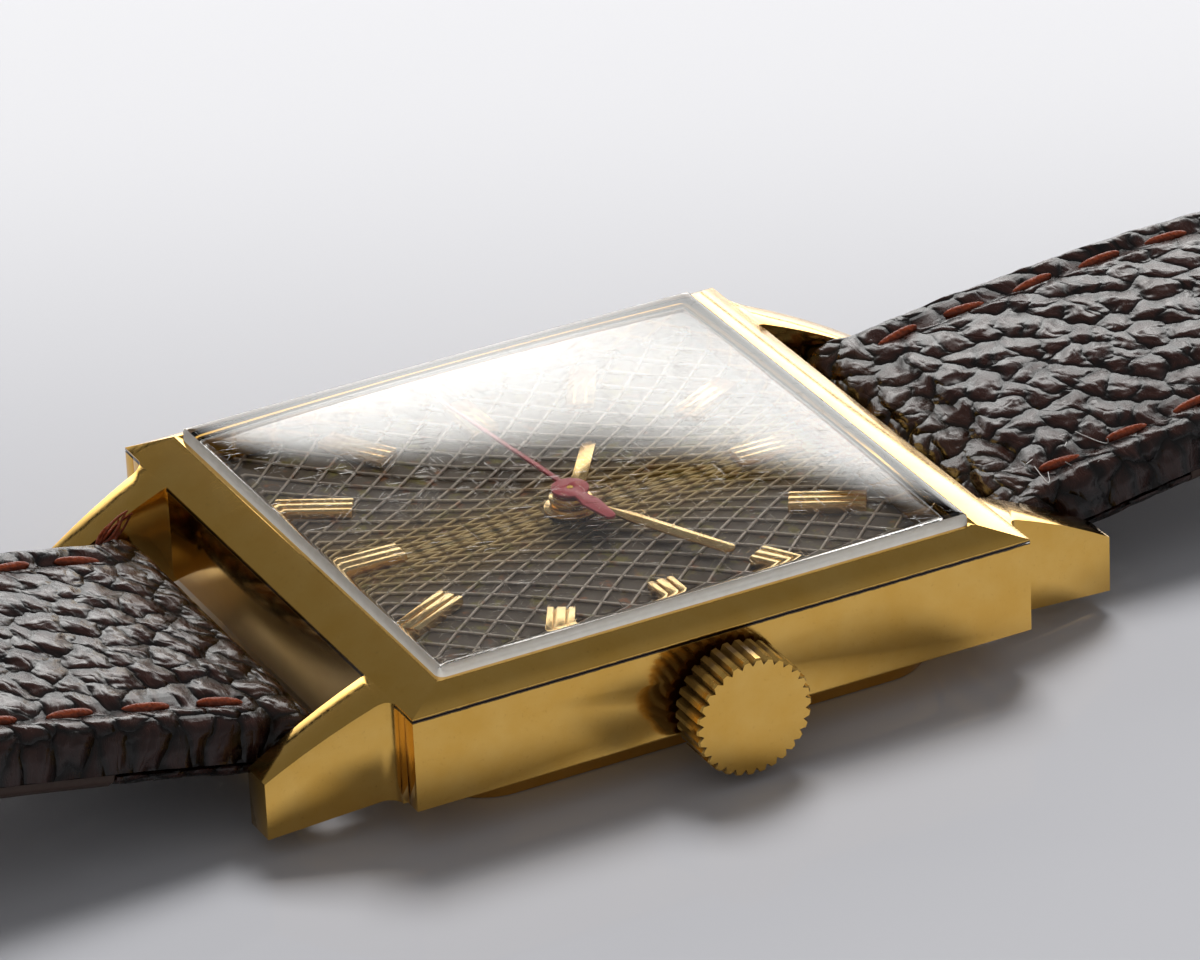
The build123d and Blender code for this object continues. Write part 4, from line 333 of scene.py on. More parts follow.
def worn_metal(name, colours, roughs, along, grain, stretch, depth, shade_paint=None):
    """A metal with fine hairlines along one axis, a faint cloud of tone and small dull spots.

    The colours are light, dark and spotted. Shade paint, if given, is the colour of painted shade and the
    function that says where it is painted."""
    metal = new_finish(name)
    place = metal.place()
    lines = hairlines(metal, place, along, grain, stretch)
    cloud = metal.noise(place, tone_scale, 5.0, 0.62)
    speckle = metal.noise(place, speckle_scale, 3.0, 0.7)
    shade = metal.mix(metal.remap(cloud, 0.35, 0.68), colours[1], colours[0])
    colour = metal.mix(metal.remap(speckle, 0.62, 0.72, 0.0, 0.35), shade, colours[2])
    metallic = 1.0
    # Painted shade: where the mask says, the metal turns toward the dark colour and loses its metal.
    if shade_paint is not None:
        amount = shade_paint[1](metal, place)
        colour = metal.mix(amount, colour, shade_paint[0])
        metallic = metal.calc("SUBTRACT", 1.0, amount)
    inputs = {"Metallic": metallic, "Normal": metal.relief(lines, depth)}
    return metal.end(metal.shader(colour, metal.remap(lines, 0.3, 0.7, *roughs), inputs))


def seam_shade_mask(metal, place):
    """Where shade is painted in the seam between the shells: a ragged dark line along the case."""
    ragged = metal.noise(place, 1900.0, 4.0, 0.7)
    level = metal.calc("MULTIPLY_ADD", ragged, seam_sway, metal.axis(place, "Z"))
    off = metal.calc("ABSOLUTE", metal.calc("SUBTRACT", level, seam_level + seam_sway / 2))
    on_case = metal.calc("LESS_THAN", metal.calc("ABSOLUTE", metal.axis(place, "Y")), seam_end)
    return metal.calc("MULTIPLY", metal.remap(off, seam_outer, seam_inner), on_case)


# Polished plating: mirror-like, hazed by fine wiping scratches about 0.1 mm apart.
# The dark ragged line at the seam between the shells is painted shade, on both gold finishes.
seam_painted_shade = ("#2B1606", seam_shade_mask)
polished_gold = worn_metal(
    "polished_gold_plate", gold_colours, (0.06, 0.16), 1, 9000.0, 14.0, 0.0008 * mm, seam_painted_shade
)
# Brushed plating: satin, with grain along the flank about 0.08 mm apart.
brushed_gold = worn_metal(
    "brushed_gold_plate", gold_colours, (0.10, 0.18), 1, 12000.0, 30.0, 0.0012 * mm, seam_painted_shade
)
with_broken_edges("case_shell", case_edge_radius, polished_gold)
with_broken_edges("case_back", case_edge_radius, brushed_gold)

# Crystal: one moulded cushion of clear acrylic, pressed into the bezel, its rim standing upright.
# Years of wear leave fine scratches in every direction.
crystal_low, crystal_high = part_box("crystal")
crystal_half = crystal_high.x
crystal_seat = crystal_low.z
crystal_wall = 1.2 * mm
crystal_side_wall = 0.45 * mm
crystal_dome = 0.95 * mm
crystal_corner_radius = 0.4 * mm
crystal_shoulder = 0.3 * mm
crystal_power = 2.3
crystal_steps = 56
wall_slope = 0.85
wall_glow = 0.85


def cushion_grid(half, top):
    """Points of a cushion's upper skin, closer together toward the rim, its corners and shoulders rounded."""
    dome, corner, shoulder = crystal_dome, crystal_corner_radius, crystal_shoulder
    marks = [sin(pi / 2 * (2 * i / crystal_steps - 1)) for i in range(crystal_steps + 1)]
    points = []
    for b in marks:
        for a in marks:
            x, y = a * half, b * half
            corner_x = max(abs(x) - (half - corner), 0.0)
            corner_y = max(abs(y) - (half - corner), 0.0)
            reach = sqrt(corner_x**2 + corner_y**2)
            if reach > corner:
                x = (half - corner + corner_x * corner / reach) * (1 if x > 0 else -1)
                y = (half - corner + corner_y * corner / reach) * (1 if y > 0 else -1)
            rise = dome * (1 - abs(a) ** crystal_power) * (1 - abs(b) ** crystal_power)
            inside = min(half - abs(x), half - abs(y), shoulder)
            drop = shoulder - sqrt(max(shoulder**2 - (shoulder - inside) ** 2, 0.0))
            points.append((x, y, top - dome + rise - drop))
    return points


def rim_indices(steps):
    """The grid's border, once round."""
    side = steps + 1
    border = [i for i in range(side)]
    border += [side * j + steps for j in range(1, side)]
    border += [side * steps + i for i in range(steps - 1, -1, -1)]
    border += [side * j for j in range(steps - 1, 0, -1)]
    return border


crystal_points = cushion_grid(crystal_half, crystal_high.z)
crystal_points += cushion_grid(crystal_half - crystal_side_wall, crystal_high.z - crystal_wall)
skin_count = (crystal_steps + 1) ** 2
crystal_faces = []
for j in range(crystal_steps):
    for i in range(crystal_steps):
        a = j * (crystal_steps + 1) + i
        b = a + crystal_steps + 1
        crystal_faces.append((a, a + 1, b + 1, b))
        crystal_faces.append((skin_count + a, skin_count + b, skin_count + b + 1, skin_count + a + 1))
rim = rim_indices(crystal_steps)
foot_outer = len(crystal_points)
crystal_points += [(*crystal_points[k][:2], crystal_seat) for k in rim]
foot_inner = len(crystal_points)
crystal_points += [(*crystal_points[skin_count + k][:2], crystal_seat) for k in rim]
for n in range(len(rim)):
    m = (n + 1) % len(rim)
    crystal_faces.append((rim[m], rim[n], foot_outer + n, foot_outer + m))
    crystal_faces.append((foot_outer + m, foot_outer + n, foot_inner + n, foot_inner + m))
    crystal_faces.append((foot_inner + m, foot_inner + n, skin_count + rim[n], skin_count + rim[m]))
crystal_mesh = new_mesh("crystal_cushion", crystal_points, crystal_faces)
smooth_to(crystal_mesh, 50)
crystal = new_piece("crystal_cushion", crystal_mesh)

# Clear acrylic: IOR 1.49, glossy, crossed by hair scratches; light passes straight through to the dial.
clear = new_finish("scratched_clear_acrylic")
place = clear.place()
scratched = 0.0
for turn, scale, offset in ((0.4, 9200.0, 0.0), (1.5, 8100.0, 3.0), (2.5, 7700.0, 7.0)):
    moves = {"Rotation": (0, 0, turn), "Location": (offset, offset, 0)}
    turned = clear.add("Mapping", {"Vector": place, **moves})
    drawn = clear.add("Mapping", {"Vector": turned, "Scale": (scale, scale / 16, 1.0)})
    scratched = clear.calc("MAXIMUM", scratched, clear.remap(clear.noise(drawn, 1.0, 1.0), 0.7, 0.76))
scratches = clear.relief(scratched, 0.0025 * mm, invert=True)
acrylic = clear.shader("#FBFBF9", 0.02, {"IOR": 1.49, "Transmission Weight": 1.0, "Normal": scratches})
passing = clear.add("BsdfTransparent", {"Color": linear("#F2F2EF")})
shadow = clear.add("LightPath", output="Is Shadow Ray")
crystal_mesh.materials.append(clear.end(clear.add("MixShader", {0: shadow, 1: acrylic, 2: passing})))

# The upright wall was never polished: a pale, matt edge that light shines through.
edge = new_finish("matt_acrylic_edge")
edge_tone = edge.mix(edge.noise(edge.place(), 2500.0), "#EFECE6", "#FFFEFC")
edge_shader = edge.shader(edge_tone, 0.35, {"IOR": 1.49})
edge_glow = edge.add("BsdfTranslucent", {"Color": edge_tone})
crystal_mesh.materials.append(edge.end(edge.add("MixShader", {0: wall_glow, 1: edge_shader, 2: edge_glow})))
for polygon in crystal_mesh.polygons:
    edge_place = max(abs(polygon.center.x), abs(polygon.center.y))
    if abs(polygon.normal.z) < wall_slope and edge_place > crystal_half - crystal_shoulder:
        polygon.material_index = 1
settle(crystal, "crystal")

# Crown: turned and coin-edged brass, gold-plated, its face brushed flat. The teeth run out into the
# face's edge, and painted shade darkens the grooves and the side next to the case.
crown_low, crown_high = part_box("crown")
crown_axis = (crown_low.z + crown_high.z) / 2
crown_tip = (crown_high.y - crown_low.y) / 2
crown_root = crown_tip - 0.24 * mm
crown_teeth = 30
crown_break = 0.08 * mm
crown_bore = 1.9 * mm
crown_bore_depth = 1.25 * mm


def crown_rings():
    """The crown's sections from the bottom of its bore, round its back and side, to its face."""
    turns, reach = [], []
    for tooth in range(crown_teeth):
        for part, radius in ((-0.2, crown_tip), (0.2, crown_tip), (0.5, crown_root)):
            turns.append(2 * pi * (tooth + part) / crown_teeth)
            reach.append(radius)
    reach = np.array(reach)
    round_bore = np.full(len(turns), crown_bore)
    sections = (
        (crown_low.x + crown_bore_depth, round_bore),
        (crown_low.x, round_bore),
        (crown_low.x, reach - crown_break),
        (crown_low.x + crown_break, reach),
        (crown_high.x - crown_break, reach),
        (crown_high.x, reach - crown_break),
    )
    return [
        [(x, r * cos(t), crown_axis + r * sin(t)) for t, r in zip(turns, radii)] for x, radii in sections
    ]


def ring_faces(count, size, first=0, closed=False):
    """Four-sided faces between rings of points that are numbered ring by ring."""
    faces = []
    for i in range(count if closed else count - 1):
        near, far = first + i * size, first + (i + 1) % count * size
        faces += [(near + k, near + (k + 1) % size, far + (k + 1) % size, far + k) for k in range(size)]
    return faces


def crown_shade_mask(metal, place):
    """Where shade is painted on the crown: in its grooves and on the side next to the case, not on its face.
    """
    run = metal.axis(place, "X")
    level = metal.add("VectorMath", {0: place, 1: (1.0, 0.0, 0.0)}, operation="MULTIPLY")
    axis_point = metal.add("VectorMath", {0: level, 1: (0.0, 0.0, crown_axis)})
    radius = metal.add("VectorMath", {0: place, 1: axis_point}, "Value", operation="DISTANCE")
    in_groove = metal.remap(radius, crown_tip - 0.02 * mm, crown_root, 0.0, 0.9)
    behind = metal.remap(run, crown_high.x - 0.2 * mm, crown_high.x - 1.1 * mm, 0.1, 0.92)
    on_side = metal.calc("LESS_THAN", run, crown_high.x - 0.01 * mm)
    return metal.calc("MULTIPLY", metal.calc("MAXIMUM", in_groove, behind), on_side)


rings = crown_rings()
size = len(rings[0])
crown_caps = [tuple(reversed(range(size))), tuple(range(5 * size, 6 * size))]
crown_points = [point for ring in rings for point in ring]
crown_mesh = new_mesh("coin_edged_crown", crown_points, crown_caps + ring_faces(len(rings), size))
turned_out(crown_mesh)
smooth_to(crown_mesh, 20)
turned_gold = worn_metal("turned_gold_plate", gold_colours, (0.10, 0.2), 2, 7000.0, 8.0, 0.0008 * mm)
# Painted shade: dark brown in the crown's grooves and on its side next to the case.
crown_shade_paint = ("#2A1407", crown_shade_mask)
coin_edged_gold = worn_metal(
    "coin_edged_gold_painted_shade", gold_colours, (0.12, 0.22), 2, 7000.0, 8.0, 0.0008 * mm, crown_shade_paint
)
crown_mesh.materials.append(coin_edged_gold)
settle(new_piece("coin_edged_crown", crown_mesh), "crown")

# Dial: a brass plate stamped with a net of raised lines, lacquered bronze and darkened by age.
# A painted golden sheen runs from 12 to 6, where the lines crowd together. Old lacquer has spots of green,
# orange and brown, and a dark patch beside the centre that is partly a stain and partly painted shadow of the
# hub. The lengths here are in millimetres.
sheen_band_inner = 1.9
sheen_band_outer = 6.2
lacquer_spots = ((1.1, 0.0, 0.56, "#8E8440"), (1.3, 9.0, 0.6, "#A8683C"), (0.6, 4.0, 0.6, "#3A2C22"))
stain_shadow_place = (2.0, -0.3, 4.9)
stain_shadow_inner = 0.8
stain_shadow_outer = 2.6
lacquer_metallic = 0.35


def aged_bronze(name, hex_sheen, hex_field, rough_low, rough_high):
    """Lacquered bronze: a painted golden sheen along the 12 to 6 line, brown-grey beside it, spotted,
    clouded, and darkened beside the centre by a stain and painted shadow.
    """
    bronze = new_finish(name)
    in_mm = bronze.add("VectorMath", {0: bronze.place(), "Scale": 1 / mm}, operation="SCALE")
    cloud = bronze.noise(in_mm, 0.5, 6.0, 0.65)
    ragged = bronze.calc("MULTIPLY_ADD", cloud, 3.0, bronze.calc("ABSOLUTE", bronze.axis(in_mm, "X")))
    # Painted sheen: golden along the 12 to 6 line, fading to the field's brown-grey beside it.
    off_sheen = bronze.remap(ragged, sheen_band_inner, sheen_band_outer, curve="SMOOTHSTEP")
    colour = bronze.mix(off_sheen, hex_sheen, hex_field)
    for scale, shift, low, hex_spot in lacquer_spots:
        moved = bronze.add("VectorMath", {0: in_mm, 1: (shift, shift, shift)})
        amount = bronze.remap(bronze.noise(moved, scale, 4.0, 0.6), low, low + 0.1, 0.0, 0.6)
        colour = bronze.mix(amount, colour, hex_spot)
    # A dark patch beside the centre: partly a lacquer stain, partly painted shadow of the hub.
    from_stain_shadow = bronze.add("VectorMath", {0: in_mm, 1: stain_shadow_place}, "Value", operation="DISTANCE")
    stain_and_shadow = bronze.remap(from_stain_shadow, stain_shadow_inner, stain_shadow_outer, 0.8, 0.0, "SMOOTHSTEP")
    rough = bronze.remap(cloud, 0.0, 1.0, rough_low, rough_high)
    pores = bronze.relief(bronze.noise(in_mm, 9.0, 3.0), 0.012 * mm)
    inputs = {"Metallic": lacquer_metallic, "Normal": pores}
    return bronze.end(bronze.shader(bronze.mix(stain_and_shadow, colour, "#1E1610"), rough, inputs))


def dress(material, *names):
    """Gives CAD nodes, kept as they are, their finish."""
    for name in names:
        mesh = frame["nodes"][name].data
        mesh.materials.clear()
        mesh.materials.append(material)
        mesh.polygons.foreach_set("material_index", [0] * len(mesh.polygons))


# The dial's copy of the bronze is painted darker than the net's: painted shade on the plate beside the ribs.
dress(aged_bronze("lacquered_bronze_dial", "#7C6338", "#64594F", 0.4, 0.58), "dial")

# The net: two mirrored families of ribs, each an S that stands upright where it crosses the 12 to 6 line.
# Pitch, swing, reach, hole and shortest rib are in millimetres; the longest rib gets about 90 points.
net_pitch = 1.87
net_swing = 6.2
net_reach = 12.6
net_hole = 1.25
net_shortest = 0.1
net_each_side = 18
net_samples = 90
net_span = 7
net_foot = 0.15 * mm
net_top = 0.08 * mm
net_height = 0.13 * mm


def net_lines():
    """The ribs as polylines in millimetres, ending at the dial's edge and at its centre hole."""
    lines = []
    for direction in (-1, 1):
        for n in range(-net_each_side, net_each_side + 1):
            ends = sorted((direction * (side * net_reach - n * net_pitch) / net_swing for side in (-1, 1)))
            low, high = max(ends[0], -sqrt(net_reach)), min(ends[1], sqrt(net_reach))
            if high - low < net_shortest:
                continue
            line = []
            for t in np.linspace(low, high, max(4, int((high - low) * net_samples / net_span))):
                x, y = t * abs(t), direction * net_swing * t + n * net_pitch
                if x * x + y * y > net_hole**2:
                    line.append((x, y))
                elif line:
                    lines.append(line)
                    line = []
            lines.append(line)
    return [line for line in lines if len(line) > 1]


def line_mesh(name, lines):
    """Polylines as a mesh of edges."""
    points, edges = [], []
    for line in lines:
        edges += [(len(points) + i, len(points) + i + 1) for i in range(len(line) - 1)]
        points += line
    return new_mesh(name, points, [], edges)


def new_shape_tree(name, inputs):
    """A Geometry Nodes tree with named inputs and one geometry output."""
    tree = bpy.data.node_groups.new(name, "GeometryNodeTree")
    tree.interface.new_socket("Geometry", in_out="INPUT", socket_type="NodeSocketGeometry")
    for label, kind in inputs:
        tree.interface.new_socket(label, in_out="INPUT", socket_type="NodeSocket" + kind)
    tree.interface.new_socket("Geometry", in_out="OUTPUT", socket_type="NodeSocketGeometry")
    return tree, tree.nodes.new("NodeGroupInput").outputs


def shape_node(tree, kind, inputs=None, output=0, prefix="GeometryNode", **settings):
    """Adds a node to a shape tree and gives one of its outputs."""
    return add_node(tree, kind, inputs, prefix, **settings).outputs[output]


def end_shape(tree, shape, finish):
    """Ends a shape tree with plain geometry in its finish."""
    real = shape_node(tree, "RealizeInstances", {"Geometry": shape})
    dressed = shape_node(tree, "SetMaterial", {"Geometry": real, "Material": finish})
    tree.links.new(dressed, tree.nodes.new("NodeGroupOutput").inputs[0])


def grown(piece, tree, values):
    """Turns what a shape tree makes of a piece into the piece's plain mesh."""
    modifier = piece.modifiers.new("shape", "NODES")
    modifier.node_group = tree
    for item in tree.interface.items_tree:
        if item.in_out == "INPUT" and item.name in values:
            modifier[item.identifier] = values[item.name]
    finished = baked(piece)
    piece.modifiers.clear()
    piece.data = finished
    return piece


rib_tree, given = new_shape_tree(
    "rib_net", (("Foot", "Float"), ("Top", "Float"), ("Height", "Float"), ("Finish", "Material"))
)
rib_line = shape_node(rib_tree, "MeshToCurve", {"Mesh": given["Geometry"]})
rib_upright = shape_node(rib_tree, "SetCurveNormal", {"Curve": rib_line}, mode="Z_UP")
rib_section = shape_node(
    rib_tree,
    "CurvePrimitiveQuadrilateral",
    {"Height": given["Height"], "Bottom Width": given["Top"], "Top Width": given["Foot"], "Offset": 0.0},
    mode="TRAPEZOID",
)
rib_inputs = {"Curve": rib_upright, "Profile Curve": rib_section, "Fill Caps": True}
end_shape(rib_tree, shape_node(rib_tree, "CurveToMesh", rib_inputs), given["Finish"])

rib_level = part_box("dial")[1].z + net_height / 2
rib_lines = [[(x * mm, y * mm, rib_level) for x, y in line] for line in net_lines()]
# The ribs take a paler copy of the dial's bronze: a painted highlight on the ribs.
rib_values = {
    "Foot": net_foot,
    "Top": net_top,
    "Height": net_height,
    "Finish": aged_bronze("bronze_net_painted_highlight", "#CBAC6E", "#C0B3A8", 0.3, 0.45),
}
dial_net = grown(new_piece("dial_net", line_mesh("dial_net", rib_lines)), rib_tree, rib_values)
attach(dial_net, body_of_node("dial"))

# Hour markers and hands: stamped from brass, cut bright and gold-plated. The markers stand on the dial,
# the hands are pressed onto their arbors one above the other, and the seconds hand is painted red.
def two_toned(name, hex_low, hex_high, rough, grain, relief=None, inputs=None):
    """A finish whose colour wavers between two tones; the same grain raises it where relief is given.

    Grain is a noise's scale, detail and roughness, and relief is a distance and a strength."""
    finish = new_finish(name)
    cloud = finish.noise(finish.place(), *grain)
    inputs = dict(inputs or {})
    if relief is not None:
        inputs["Normal"] = finish.relief(cloud, *relief)
    return finish.end(finish.shader(finish.mix(cloud, hex_low, hex_high), rough, inputs))


bright_gold = worn_metal(
    "bright_cut_gold", ("#F6D9A0", "#E9BC78", "#8C6238"), (0.12, 0.26), 0, 8000.0, 6.0, 0.001 * mm
)
with_broken_edges("hour_markers", 0.04 * mm, bright_gold)
with_broken_edges("hour_hand", 0.03 * mm, bright_gold)
with_broken_edges("minute_hand", 0.03 * mm, bright_gold)

# Red paint gone dusty pink, in patches and grains about 0.4 mm wide.
dusty_red = two_toned("dusty_red_paint", "#96303A", "#C4626A", 0.42, (2600.0, 5.0, 0.7), (0.004 * mm, 1.0))
with_broken_edges("seconds_hand", 0.03 * mm, dusty_red)

# Straps: dark brown pebbled leather over padding, folded round each spring bar and stitched near both edges.
# The curve repeats the solids: an arc, then for the short strap a straight run to the buckle bar.
# A run is a distance along that curve from the spring bar; the heights stand square to it.
bar_y = 18.4 * mm
bar_z = 3.5 * mm
long_run = 112 * mm
long_rise = radians(12)
long_radius = 243 * mm
short_run = 75 * mm
short_bend = 40 * mm
short_rise = radians(9)
short_radius = 163.7 * mm

# Round the bars: the leather's outside and inside, and where its inside lies flat again.
leather_loop = 1.88 * mm
bar_clear = 0.83 * mm
bar_blend = 1.1 * mm
buckle_loop = 1.72 * mm
buckle_wrap = radians(235)
fold_run = 8 * mm
loop_turns = 30
fold_turns = 26

# Thickness and width along the run: padded and wide at the lugs, thin and narrow at the end.
under = 1.18 * mm
lining_top = 0.4 * mm
fold_inside = lining_top * 1.02
pad_height = 2.03 * mm
thin_height = 1.08 * mm
pad_run = 16 * mm
thin_run = 46 * mm
wide_half = 9.55 * mm
narrow_half = 7.97 * mm
taper_run = 46 * mm
tip_length = 9 * mm
tip_half = 2.4 * mm
tip_nose = 3.6 * mm
tip_least = 0.3 * mm
edge_round = 1.05 * mm

# Grain and padding: sizes of the mesh's steps, of the swellings, and of the dip along each seam.
grain_step = 0.23 * mm
grain_depth = 0.1 * mm
grain_cell = np.array((1.9 * mm, 1.7 * mm))
column_origin = 11 * mm
side_columns = 5
under_columns = 10
stitch_inset = 2.1 * mm
pad_start = 1.5 * mm
pad_sink = 0.12 * mm
seam_pull = 0.2 * mm
seam_pull_width = 0.5 * mm
narrowest_half = 0.2 * mm
rubbed_run = 1.2 * mm
rub_blend = 9


class StrapLine:
    """The middle line of one strap half in its side view."""

    def __init__(self, side, rise, bend_run, radius):
        self.side, self.rise, self.bend_run, self.radius = side, rise, bend_run, radius

    def slope(self, run):
        """The line's angle over the table."""
        return self.rise - min(run, self.bend_run) / self.radius

    def point(self, run, offset):
        """The y and z of a point at a run along the line and an offset square to it."""
        slope, straight = self.slope(run), run - min(run, self.bend_run)
        forward = self.radius * (sin(self.rise) - sin(slope)) + straight * cos(slope) - offset * sin(slope)
        upward = self.radius * (cos(slope) - cos(self.rise)) + straight * sin(slope) + offset * cos(slope)
        return np.array((self.side * (bar_y + forward), bar_z + upward))

    def up(self, run):
        """The direction square to the line."""
        return np.array((-self.side * sin(self.slope(run)), cos(self.slope(run))))

    def along(self, run):
        """The direction away from the case."""
        return np.array((self.side * cos(self.slope(run)), sin(self.slope(run))))


long_line = StrapLine(-1, long_rise, long_run, long_radius)
short_line = StrapLine(1, short_rise, short_bend, short_radius)


def top_height(run):
    """How far the leather's top stands over the middle line: padded by the lugs, thin toward the end."""
    if run < pad_run:
        return leather_loop + (pad_height - leather_loop) * run / pad_run
    if run < thin_run:
        return pad_height + (thin_height - pad_height) * (run - pad_run) / (thin_run - pad_run)
    return thin_height


def half_width(run, tip_run=None):
    """Half the strap's width, with the rounded point of the long strap where tip_run is given."""
    half = wide_half + (narrow_half - wide_half) * min(max(run, 0) / taper_run, 1)
    if tip_run is not None:
        start = tip_run - tip_length
        if run > start:
            half = min(half, narrow_half + (tip_half - narrow_half) * (run - start) / tip_length)
        if run > tip_run - tip_nose:
            half = min(half, sqrt(max(tip_nose**2 - (run - tip_run + tip_nose) ** 2, tip_least**2)))
    return half


def half_of(tip_run=None, inset=0.0):
    """A function of the run that gives half the width of a leather, or of a lining set in from its edge."""
    return lambda run: max(half_width(run, tip_run) - inset, narrowest_half)


def travelled(points):
    """How far along a row of points each of them lies."""
    return np.concatenate(([0], np.cumsum(np.linalg.norm(np.diff(points, axis=0), axis=1))))


# The grain raises soft swellings nearly 2 mm across; the leather's finish draws the pebbles and creases.
def pebble_heights(run, across, seed):
    """Height of the grain from 0 between the swellings to about 1 on them, at points given in metres.

    Each cell holds one swelling, off its middle by chance and of a height that varies by chance."""
    points = np.stack((run, across), axis=1) / grain_cell
    random = np.random.default_rng(seed)
    low = np.floor(points.min(0)).astype(int) - 2
    size = np.ceil(points.max(0)).astype(int) + 2 - low
    jitter = random.random((size[0], size[1], 2)) * 0.9 + 0.05
    puff = random.random((size[0], size[1])) * 0.6 + 0.5
    home = np.floor(points).astype(int)
    nearest = np.full(len(points), 9.0)
    second = np.full(len(points), 9.0)
    height = np.zeros(len(points))
    for i in (-1, 0, 1):
        for j in (-1, 0, 1):
            cell = home + (i, j) - low
            spot = home + (i, j) + jitter[cell[:, 0], cell[:, 1]]
            gap = np.sqrt(((points - spot) ** 2).sum(1))
            closer = gap < nearest
            second = np.where(closer, nearest, np.minimum(second, gap))
            height = np.where(closer, puff[cell[:, 0], cell[:, 1]], height)
            nearest = np.where(closer, gap, nearest)
    crease = np.clip((second - nearest) / 0.9, 0, 1)
    return height * crease**0.7


def ring_points(station, half, columns):
    """One section through the leather: across the top, round the near edge, back along the inside."""
    _, centre, outward, outer, inner = station
    radius = min(edge_round, (outer - inner) * 0.6, 2 * half * 0.24)
    flat, brow = half - radius, outer - radius
    reach = flat + radius * pi / 2
    profile = []
    for k in range(columns + 1):
        u = -reach + 2 * reach * k / columns
        bend = max(abs(u) - flat, 0) / radius
        x = (1 if u > 0 else -1) * (min(abs(u), flat) + radius * sin(bend))
        profile.append((x, outer - radius * (1 - cos(bend))))
    down = [k / side_columns for k in range(side_columns + 1)]
    profile += [(half, brow + (inner - outer + radius) * t) for t in down[1:]]
    profile += [(half - 2 * half * (k / under_columns), inner) for k in range(1, under_columns)]
    profile += [(-half, inner + (brow - inner) * t) for t in down[:-1]]
    return [(x, *(centre + outward * offset)) for x, offset in profile]


def pad_swell(x, half, swell):
    """Padding: crowned between the stitch lines and drawn down along each of them."""
    seam = np.maximum(half - stitch_inset, narrowest_half)
    crown = np.clip(1 - (np.abs(x) / seam) ** 2.4, 0, 1) * swell
    pull = np.exp(-(((np.abs(x) - seam) / seam_pull_width) ** 2)) * seam_pull
    return crown - pull - pad_sink


def lay_grain(mesh, along, across):
    """Lays the grain's plane over a mesh: for each of its points a place in millimetres."""
    corners = np.zeros(len(mesh.loops), dtype=int)
    mesh.loops.foreach_get("vertex_index", corners)
    uv = np.stack((along[corners], across[corners]), axis=1)
    mesh.uv_layers.new(name="grain").data.foreach_set("uv", uv.astype(np.float32).ravel())


def leather_mesh(name, stations, half_at, seed, swell, depth=grain_depth, top_columns=84, worn_most=0.0):
    """A closed mesh of a leather band with its grain raised and its padding crowned.

    Each station is a run, a centre, an outward direction, and the leather's outer and inner offset."""
    rings = np.array([ring_points(station, half_at(station[0]), top_columns) for station in stations])
    count, size = rings.shape[:2]
    runs = np.array([station[0] for station in stations])[:, None]
    halves = np.array([half_at(station[0]) for station in stations])[:, None]
    normal = np.cross(np.gradient(rings, axis=0), np.roll(rings, -1, axis=1) - np.roll(rings, 1, axis=1))
    normal /= np.maximum(np.linalg.norm(normal, axis=2, keepdims=True), 1e-12)
    outward = np.array([station[2] for station in stations])
    if np.median((normal[:, top_columns // 2, 1:] * outward).sum(1)) < 0:
        normal = -normal
    along = np.repeat(travelled(rings[:, top_columns // 2]), size)
    across = np.tile(travelled(rings[count // 2]) - column_origin, count)
    grain = pebble_heights(along, across, seed).reshape(count, size)
    column = np.arange(size)
    outside = (column <= top_columns + side_columns) | (column >= size - side_columns)
    lift = (grain - 1.0) * depth * outside
    if swell > 0:
        padding = np.where(runs > pad_start, pad_swell(rings[:, :, 0], halves, swell), -pad_sink)
        lift = lift + padding * (column <= top_columns)
    points = (rings + normal * lift[:, :, None]).reshape(-1, 3)
    ends = [tuple(range(size)), tuple((count - 1) * size + k for k in reversed(range(size)))]
    mesh = new_mesh(name, points.tolist(), ring_faces(count, size) + ends)
    turned_out(mesh)
    lay_grain(mesh, along / mm, across / mm)
    fold = np.array([1.0 if inner > 0 and run < rubbed_run else 0.0 for run, _, _, _, inner in stations])
    spread = np.convolve(fold, np.ones(rub_blend) / rub_blend, mode="same") * worn_most
    worn = mesh.attributes.new("worn", "FLOAT", "POINT")
    worn.data.foreach_set("value", np.repeat(spread, size).astype(np.float32))
    smooth_to(mesh, 70)
    return mesh


def off_bar(run, flat):
    """The leather's inside at a distance from a bar: round the bar, then easing to where it lies flat."""
    if run < bar_clear:
        return sqrt(bar_clear**2 - run**2)
    if run < bar_blend:
        return flat * (run - bar_clear) / (bar_blend - bar_clear)
    return flat


def top_stations(line, start, end, loop_at=None):
    """Stations along the top of a strap between two runs, the inside following the bar at either end."""
    steps = max(2, int(round(abs(end - start) / grain_step)))
    found = []
    for k in range(steps + 1):
        run = start + (end - start) * k / steps
        outer, from_bar = top_height(run), run
        if loop_at is not None:
            outer = max(outer, sqrt(max(buckle_loop**2 - (loop_at - run) ** 2, 0)))
            from_bar = min(run, loop_at - run)
        found.append((run, line.point(run, 0), line.up(run), outer, off_bar(from_bar, -lining_top)))
    return found


def loop_stations(line, end):
    """Stations round the buckle bar, from under the strap to its top."""
    found = []
    up, along = line.up(end), line.along(end)
    for k in range(loop_turns):
        angle = buckle_wrap * (1 - k / loop_turns)
        found.append((end, line.point(end, 0), up * cos(angle) + along * sin(angle), buckle_loop, bar_clear))
    return found


def fold_stations(line):
    """Stations round the spring bar and back under the strap to the end of the fold."""
    found = []
    up, along, centre = line.up(0), line.along(0), line.point(0, 0)
    for k in range(1, fold_turns):
        angle = pi * k / fold_turns
        found.append((0.0, centre, up * cos(angle) - along * sin(angle), leather_loop, bar_clear))
    steps = int(fold_run / (grain_step * 1.5))
    for k in range(steps + 1):
        run = fold_run * k / steps
        outer = max(sqrt(max(leather_loop**2 - run**2, 0)), under)
        found.append((run, line.point(run, 0), -line.up(run), outer, off_bar(run, fold_inside)))
    return found


